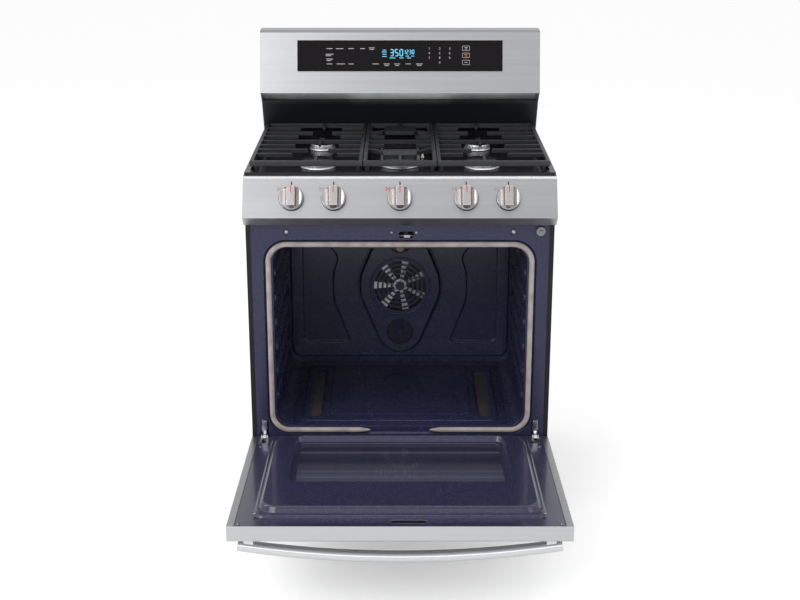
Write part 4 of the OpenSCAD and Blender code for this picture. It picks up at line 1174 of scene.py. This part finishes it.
def slope(tilt):
    """The directions up a leaning panel and straight out of it."""
    return (Vector((0, math.sin(tilt), math.cos(tilt))),
            Vector((0, -math.cos(tilt), math.sin(tilt))))


def on_slope(spot, up, out):
    """A frame at a spot on a leaning panel: x across, y up the slope, z straight out."""
    turn = Matrix((Vector((1, 0, 0)), up, out)).transposed().to_4x4()
    return Matrix.Translation(spot) @ turn


knob_up, knob_out = slope(math.radians(29.17))


def on_panel(x, along=0.0, lift=0.0):
    """A frame on the control panel's slope, counted from the line of the knobs."""
    spot = Vector((x, face_y - 21.1*MM, 857.8*MM)) + knob_up*along + knob_out*lift
    return on_slope(spot, knob_up, knob_out)


def cut(bm, point, normal):
    """Cuts away the side that the normal points to, and closes the cut."""
    geom = bm.verts[:] + bm.edges[:] + bm.faces[:]
    made = bmesh.ops.bisect_plane(bm, geom=geom, dist=1e-6, plane_co=point, plane_no=normal,
                                  clear_outer=True)["geom_cut"]
    edges = [e for e in made if isinstance(e, bmesh.types.BMEdge)]
    bmesh.ops.triangle_fill(bm, use_beauty=True, use_dissolve=True, edges=edges)


def knob_body():
    bm = bmesh.new()
    lathe(bm, [(0, 3*MM), (28.8*MM, 3*MM), (29.4*MM, 4.0*MM), (28.6*MM, 9.6*MM), (27.4*MM, 11.9*MM),
               (26.4*MM, 12.6*MM)]
          + [(r*MM, 12.8*MM) for r in (25.0, 23, 20, 17, 14.5, 12, 9, 0)], 72)
    for v in bm.verts:
        if v.co.z > 12*MM:
            out = min(max((abs(v.co.x) - 9*MM)/(17*MM), 0.0), 1.0)
            v.co.z = 6.0*MM + 7.0*MM*math.sin(out*math.pi/2)
    bar = bmesh.new()
    lathe(bar, [(0, 5*MM), (29.0*MM, 5*MM), (29.0*MM, 8*MM), (27.2*MM, 20*MM), (26.6*MM, 23.6*MM),
                (25.2*MM, 24.8*MM), (0, 25*MM)], 72)
    for side in (-1, 1):
        cut(bar, (side*9.6*MM, 0, 25*MM), (side*0.995, 0, 0.10))
    cut(bar, (0, -24.6*MM, 22.0*MM), (0, -0.78, 0.62))
    outward(bar)
    sharp = [e for e in bar.edges if e.is_manifold and e.calc_face_angle() > math.radians(40)]
    bmesh.ops.bevel(bar, geom=sharp, offset=0.8*MM, segments=3, profile=0.5, affect="EDGES",
                    material=-1)
    joined(bm, bar)
    outward(bm)
    return bm


for i, x in enumerate(KNOB_X, start=1):
    stand = on_panel(x, 0, 4.6*MM)
    bm = knob_body()
    place(bm, stand)
    piece(f"knob_grip_{i}", bm, KNOB_STEEL, f"knob_{i}", [f"knob_{i}"], smooth=38)
    # A dark ring at the knob's foot is painted shade and a painted dark reflection along the lower
    # rim.
    ring = bmesh.new()
    lathe(ring, [(26*MM, 3.4*MM), (29.6*MM, 3.4*MM), (30*MM, 2.8*MM), (30*MM, 0.5*MM), (29.4*MM, 0),
                 (26*MM, 0)], 72)
    outward(ring)
    place(ring, stand)
    piece(f"knob_base_{i}", ring, SHADE_TRIM, f"knob_{i}", smooth=40)
    line = bmesh.new()
    block(line, (-1.0*MM, 8*MM, 24.4*MM), (1.0*MM, 25.2*MM, 25.2*MM), 0.1*MM)
    place(line, stand)
    piece(f"knob_line_{i}", line, INK_RED, f"knob_{i}")
    # Two dark strips beside the bar are painted shade in the hollows of the grip.
    groove_shade = bmesh.new()
    for side in (-1, 1):
        block(groove_shade, ((side*11.4 - 0.9)*MM, -22*MM, 7.1*MM),
              ((side*11.4 + 0.9)*MM, 21*MM, 8.3*MM), 0.3*MM)
    place(groove_shade, stand)
    piece(f"knob_groove_shade_{i}", groove_shade, SHADE_TRIM, f"knob_{i}")
print("knobs at", [round(x, 3) for x in KNOB_X])

# %% [markdown]
# Printed marks lie on the steel beside each knob: a black tick above it, and a small sign of
# five dots that shows which burner it feeds, with that burner's dot in red.

# %% Knob marks
SIGN = [(-4.2, 2.8), (4.2, 2.8), (0.2, 0), (-4.2, -2.8), (4.2, -2.8)]  # one dot for each burner


def dots(places, size):
    bm = bmesh.new()
    for x, y in places:
        block(bm, (x - size, y - size, 0), (x + size, y + size, 0.12*MM))
    return bm


def sign(x, which):
    red, grey = bmesh.new(), bmesh.new()
    for index, (a, b) in enumerate(SIGN):
        joined(red if index in which else grey, dots([(a*MM, b*MM)], 1.5*MM))
    for bm, ink, label in ((red, INK_RED, "red"), (grey, INK_GREY, "grey")):
        place(bm, on_panel(x - 29*MM, 24*MM, 0.02*MM))
        piece(f"sign_{label}_{round(x/MM)}".replace("-", "m"), bm, ink, "chassis")


for x, which in zip(KNOB_X, ((3,), (0,), (0, 1, 2, 3, 4), (1,), (4,))):
    if len(which) < 5:
        sign(x, which)
    else:
        all_red = dots([(a*MM, b*MM) for a, b in SIGN], 1.7*MM)
        place(all_red, on_panel(x - 29*MM, 24*MM, 0.02*MM))
        piece("sign_red_centre", all_red, INK_RED, "chassis")
    tick = bmesh.new()
    block(tick, (-1.7*MM, 33.5*MM, 0.0), (1.7*MM, 42*MM, 0.15*MM), 0.05*MM)
    place(tick, on_panel(x, 0, 0.02*MM))
    piece(f"tick_{round(x/MM)}".replace("-", "m"), tick, INK_BLACK, "chassis")

# %% [markdown]
# The control panel, the backguard and the hob pan are merged copies with eased edges too.

# %% Control panel and backguard
eased("control_panel", "control_panel_steel", STEEL, "chassis", 1.6*MM)
eased("backguard", "backguard_steel", STEEL, "chassis", 1.4*MM)
eased("hob_pan", "hob_pan_pressing", BLACK_ENAMEL, "chassis", 1.6*MM, clean=0.1)

# %% [markdown]
# Behind the grates a black panel leans forward to a lip under the backguard. Its profile is a
# row of edges; each extrusion carries it on to the next station across the range, and the
# lip's points drop 6.4 mm over the middle.

# %% Vent panel


def vent_panel():
    bm = bmesh.new()
    half = 376.4
    profile = [(549.4, 902), (549.4, 914), (540, 930), (506.4, 989.6), (504.6, 993), (504.4, 995.6),
               (505.6, 996.6), (507.4, 996.2), (508, 994.4), (573.4, 994.2)]
    verts = [bm.verts.new((-half*MM, face_y + y*MM, z*MM)) for y, z in profile]
    edges = [bm.edges.new(pair) for pair in zip(verts, verts[1:])]
    stations = [(half - 147, 0), (16, -1), (263, 0), (16, 1), (half - 148, 0)]
    raised = 6.4*MM
    bmesh.ops.translate(bm, vec=(0, 0, raised), verts=verts[4:8])
    for step, drop in stations:
        fresh, made = drawn_out(bm, edges, (step*MM, 0, 0))
        edges = [e for e in made if all(v in fresh for v in e.verts) and len(e.link_faces) == 1]
        if drop:
            moved = [v for v in fresh if 504*MM < v.co.y - face_y < 507.8*MM and v.co.z > 991*MM]
            bmesh.ops.translate(bm, vec=(0, 0, drop*raised), verts=moved)
    looking(bm, 1, -1)
    return piece("vent_panel", bm, VENT_ENAMEL, "chassis", ["vent_trim"],
                 wall=1.0*MM, bevel=0.4*MM, smooth=30)


vent = vent_panel()
print("vent panel has", len(vent.data.polygons), "faces")

# %% [markdown]
# The touch panel is black glass in a thin bright bezel. Its marks are laid on as flat pieces:
# digits come from the built-in font, turned into a mesh, and the clock's digits are built
# from seven bars each.

# %% Touch panel
guard_up, guard_out = slope(math.radians(15.75))


def on_guard(lift=0.0):
    """A frame at the centre of the glass, on the guard's slope."""
    spot = Vector((0, face_y + 467*MM, 1029*MM)) + guard_up*(100*MM) + guard_out*lift
    return on_slope(spot, guard_up, guard_out)


def bezel():
    bm = bmesh.new()
    face = rounded_plate(bm, -278.6*MM, 278.6*MM, -43.1*MM, 43.1*MM, 0.0, 3.6*MM, 4)
    face = press(bm, face, [(0.3, 1.6), (0.5, 0.2), (0.7, -0.2), (0.2, -1.0)])
    open_face(bm, face)
    place(bm, on_guard())
    bmesh.ops.recalc_face_normals(bm, faces=bm.faces)
    return piece("glass_bezel", bm, STEEL, "chassis", smooth=40)


bezel()

# %% [markdown]
# The glass is one eased slab. Everything printed on it is kept to digits and plain dashes,
# and the lit display is built in the same way.

# %% Touch glass
glass_bm = bmesh.new()
block(glass_bm, (-277*MM, -41.5*MM, 0), (277*MM, 41.5*MM, 2.9*MM), 0.9*MM, 3)
place(glass_bm, on_guard())
piece("touch_glass", glass_bm, BLACK_GLASS, "chassis", ["touch_panel"])


def lettering(entries, size):
    """Digits at (x, y, text), as one flat mesh just above the glass."""
    bm = bmesh.new()
    for x, y, text in entries:
        data = bpy.data.curves.new("digit", "FONT")
        data.body, data.size, data.resolution_u = text, size, 3
        data.align_x = data.align_y = "CENTER"
        add_curve(bm, data, Matrix.Translation((x, y, 0)))
    return bm


def on_glass(name, bm, ink):
    place(bm, on_guard(3.0*MM))
    return piece(name, bm, ink, "chassis")


digits = [(x*MM, y*MM, text) for y, row in ((19, "123"), (6.5, "456"), (-6, "789"))
          for x, text in zip((79, 107, 134), row)] + [(107*MM, -18.5*MM, "0")]
on_glass("keypad_digits", lettering(digits, 8.5*MM), LABEL_GREY)


def dashes(rows):
    """Short printed dashes in place of labels, at (x, y, length)."""
    bm = bmesh.new()
    for x, y, length in rows:
        block(bm, ((x - length/2)*MM, (y - 0.8)*MM, 0),
              ((x + length/2)*MM, (y + 0.8)*MM, 0.1*MM))
    return bm


left_rows = [(-190, 19, 16), (-163, 19, 20), (-132, 19, 15), (-101, 19, 13), (-190, 4, 21),
             (-193, 0, 14), (-190, -9, 18), (-192, -13, 12), (-190, -22, 15), (-76, 21, 16),
             (-76, 17, 12), (-160, -22, 22), (-132, -22, 14)]
under_rows = [(-66, -22, 17), (-36, -22, 16), (-36, -26, 12), (-8, -22, 15), (-8, -26, 10),
              (22, -22, 14), (52, -22, 18), (52, -26, 12)]
on_glass("label_dashes", dashes(left_rows + under_rows), LABEL_GREY)

boxes = bmesh.new()
for y in (20, 1, -18):
    face = rounded_plate(boxes, 168*MM, 188*MM, (y - 6.5)*MM, (y + 6.5)*MM, 0.0, 1.5*MM, 3)
    face.normal_update()
    open_face(boxes, press(boxes, face, [(0.9, 0.1)]))
on_glass("button_frames", boxes, LABEL_GREY)
on_glass("button_signs", dashes([(178, 22, 8), (178, 18, 6), (178, -18, 8)]), LABEL_GREY)
on_glass("button_stop", dashes([(178, 3, 9), (178, -1, 6)]), LABEL_RED)

SEGMENTS = {"0": "abcdef", "1": "bc", "2": "abged", "3": "abgcd", "4": "fgbc", "5": "afgcd",
            "6": "afgedc", "7": "abc", "8": "abcdefg", "9": "abcdfg"}
BARS = {"a": (0, 1, 1, 0), "g": (0, 0, 1, 0), "d": (0, -1, 1, 0), "f": (-1, 0.5, 0, 1),
        "b": (1, 0.5, 0, 1), "e": (-1, -0.5, 0, 1), "c": (1, -0.5, 0, 1)}


def clock(text, x, y, wide, tall, thick):
    """Digits made of bars, from the centre (x, y) of the first one."""
    bm = bmesh.new()
    for index, digit in enumerate(text):
        centre = x + index*wide*1.7
        for bar in SEGMENTS.get(digit, ""):
            a, b, across, up = BARS[bar]
            half_x = wide/2 - 0.6 if across else thick
            half_y = tall/4 - 0.5 if up else thick
            mid_x, mid_y = centre + a*wide/2, y + b*tall/2
            block(bm, ((mid_x - half_x)*MM, (mid_y - half_y)*MM, 0),
                  ((mid_x + half_x)*MM, (mid_y + half_y)*MM, 0.1*MM))
    return bm


readout = clock("350", -22, 8, 7.5, 17, 1.1)
joined(readout, clock("1230", 12, 10, 4.6, 11, 0.8))
joined(readout, dashes([(-42, 15, 9), (-42, 10, 13), (-42, 4, 10), (-42, -2, 12), (20, -1, 9),
                        (34, -1, 8), (4, -6, 12), (-20, -6, 16), (24, -6, 10)]))
on_glass("clock_display", readout, DISPLAY_BLUE)
print("touch panel dressed")

# %% [markdown]
# A burner is a cast ring with flame ports round its edge and a black enamelled cap. Every
# second face of the ring's band is inset and pushed in, which gives the ports in one step.

# %% Burners
BURNERS = ((-208, 195, 88), (208, 195, 88), (-208, 414, 68), (208, 414, 68))


def burner_ring(bm, x, y, radius, ports):
    ring = bmesh.new()
    lathe(ring, [(0, 0), (radius + 1*MM, 0), (radius + 1.6*MM, 1.5*MM), (radius + 0.6*MM, 3.5*MM),
                 (radius - 1.0*MM, 4.4*MM), (radius - 1.6*MM, 12*MM), (radius - 2.6*MM, 14.4*MM),
                 (0, 15*MM)], ports*2)
    middles = {f: f.calc_center_median() for f in ring.faces}
    band = [f for f, c in middles.items() if 5*MM < c.z < 11.5*MM and c.xy.length > radius*0.9]
    band.sort(key=lambda f: math.atan2(middles[f].y, middles[f].x))
    bmesh.ops.recalc_face_normals(ring, faces=ring.faces)
    bmesh.ops.inset_individual(ring, faces=band[::2], thickness=0.5*MM, depth=-2.2*MM)
    place(ring, Matrix.Translation((x, y, 888*MM)))
    joined(bm, ring)


def burner_cap(bm, x, y, radius):
    cap = bmesh.new()
    lathe(cap, [(0, 0), (radius - 1.5*MM, 0), (radius - 0.5*MM, 0.6*MM), (radius, 2.2*MM),
                (radius - 1.2*MM, 4.4*MM), (radius - 4*MM, 5.8*MM), (radius*0.6, 7.4*MM),
                (0, 8*MM)], 64)
    place(cap, Matrix.Translation((x, y, 903*MM)))
    joined(bm, cap)


def stretched(bm, half_width, half_length, x, y):
    """Pulls the two halves of a round part apart to make it oval."""
    for v in bm.verts:
        v.co.y += math.copysign(half_length - half_width, v.co.y) if abs(v.co.y) > 1e-6 else 0
    bmesh.ops.translate(bm, vec=(x, y, 0), verts=bm.verts)


heads, caps = bmesh.new(), bmesh.new()
for x, y, across in BURNERS:
    burner_ring(heads, x*MM, face_y + y*MM, across/2*MM, 30 if across > 80 else 24)
    burner_cap(caps, x*MM, face_y + y*MM, (across/2 - 3.5)*MM)
oval_head, oval_cap = bmesh.new(), bmesh.new()
burner_ring(oval_head, 0, 0, 50*MM, 30)
stretched(oval_head, 50*MM, 140*MM, 0, face_y + 303*MM)
burner_cap(oval_cap, 0, 0, 44*MM)
stretched(oval_cap, 44*MM, 134*MM, 0, face_y + 303*MM)
joined(heads, oval_head)
joined(caps, oval_cap)
for bm in (heads, caps):
    outward(bm)
piece("burner_rings", heads, ALUMINIUM, "chassis", ["burner_heads"], smooth=40)
piece("burner_lids", caps, BLACK_ENAMEL, "chassis", ["burner_caps"], smooth=50)

# %% [markdown]
# The three grates are cast iron. The plain parts already have the right bars, so a merged
# copy gets cast, rounded edges; a wider bevel than on sheet metal makes them read as castings.

# %% Grates
for side in ("left", "middle", "right"):
    eased(f"grate_{side}", f"grate_casting_{side}", IRON, f"grate_{side}", 1.8*MM,
          clean=0.1)
print("grates cast: 3")

# %% [markdown]
# The hinge straps and the side panels need only eased edges.

# %% Hinges and sides
eased("hinge_arms", "hinge_straps", CHROME, "chassis", 0.5*MM, clean=0.1)
eased("side_panels", "side_panel_sheets", BLACK_PAINT, "chassis", 0.6*MM)

# %% [markdown]
# The set is a plain pale floor with soft studio light: a large key from the upper left, a
# weaker fill from the right, thin strips overhead and at both sides for the steel, a soft glow
# into the oven, and a pale surround.

# %% Floor, light and camera


def area_light(name, spot, target, size, power, shape=(1.0, 1.0)):
    data = bpy.data.lights.new(name, "AREA")
    data.shape = "RECTANGLE"
    data.size, data.size_y = size*shape[0], size*shape[1]
    data.energy = power
    lamp = bpy.data.objects.new(name, data)
    bpy.context.scene.collection.objects.link(lamp)
    lamp.location = spot
    lamp.rotation_euler = (Vector(target) - Vector(spot)).to_track_quat("-Z", "Y").to_euler()


area_light("key", (-2.4, -3.4, 2.9), (0, 0.1, 0.8), 2.6, 80, (1.0, 0.8))
area_light("fill", (2.8, -2.2, 1.6), (0, 0, 0.6), 1.6, 10)
area_light("overhead strip", (0, -0.75, 2.7), (0, -0.2, 0.4), 2.4, 9, (1.0, 0.09))
area_light("left strip", (-1.7, -0.3, 1.7), (0, -0.2, 0.4), 2.0, 11, (0.10, 1.0))
area_light("right strip", (1.7, -0.3, 1.7), (0, -0.2, 0.4), 2.0, 5, (0.10, 1.0))
area_light("oven glow", (0, -2.6, 0.9), (0, 0.4, 0.45), 1.6, 8, (1.2, 0.5))

world = bpy.data.worlds.new("surround")
world.use_nodes = True
world.node_tree.nodes["Background"].inputs[0].default_value = (1, 1, 1, 1)
world.node_tree.nodes["Background"].inputs[1].default_value = 0.80
bpy.context.scene.world = world
bpy.context.scene.view_settings.view_transform = "Standard"

floor_bm = bmesh.new()
bmesh.ops.create_grid(floor_bm, x_segments=1, y_segments=1, size=45.0)
floor_mesh = bpy.data.meshes.new("floor")
floor_bm.to_mesh(floor_mesh)
floor_bm.free()
floor_material, _, floor_shader = shader("pale_floor", Roughness=0.75)
floor_shader.inputs["Base Color"].default_value = (0.80, 0.80, 0.80, 1)
floor_shader.inputs["Emission Color"].default_value = (1, 1, 1, 1)
floor_shader.inputs["Emission Strength"].default_value = 0.32
floor_mesh.materials.append(floor_material)
floor = bpy.data.objects.new("floor", floor_mesh)
bpy.context.scene.collection.objects.link(floor)

camera_data = bpy.data.cameras.new("camera")
camera_data.lens = 63.4
camera_data.sensor_width = 36.0
camera = bpy.data.objects.new("camera", camera_data)
bpy.context.scene.collection.objects.link(camera)
camera.location = (0, face_y - 3.325, 1.683)
camera.rotation_euler = (math.radians(90 - 18.14), 0, 0)
bpy.context.scene.camera = camera
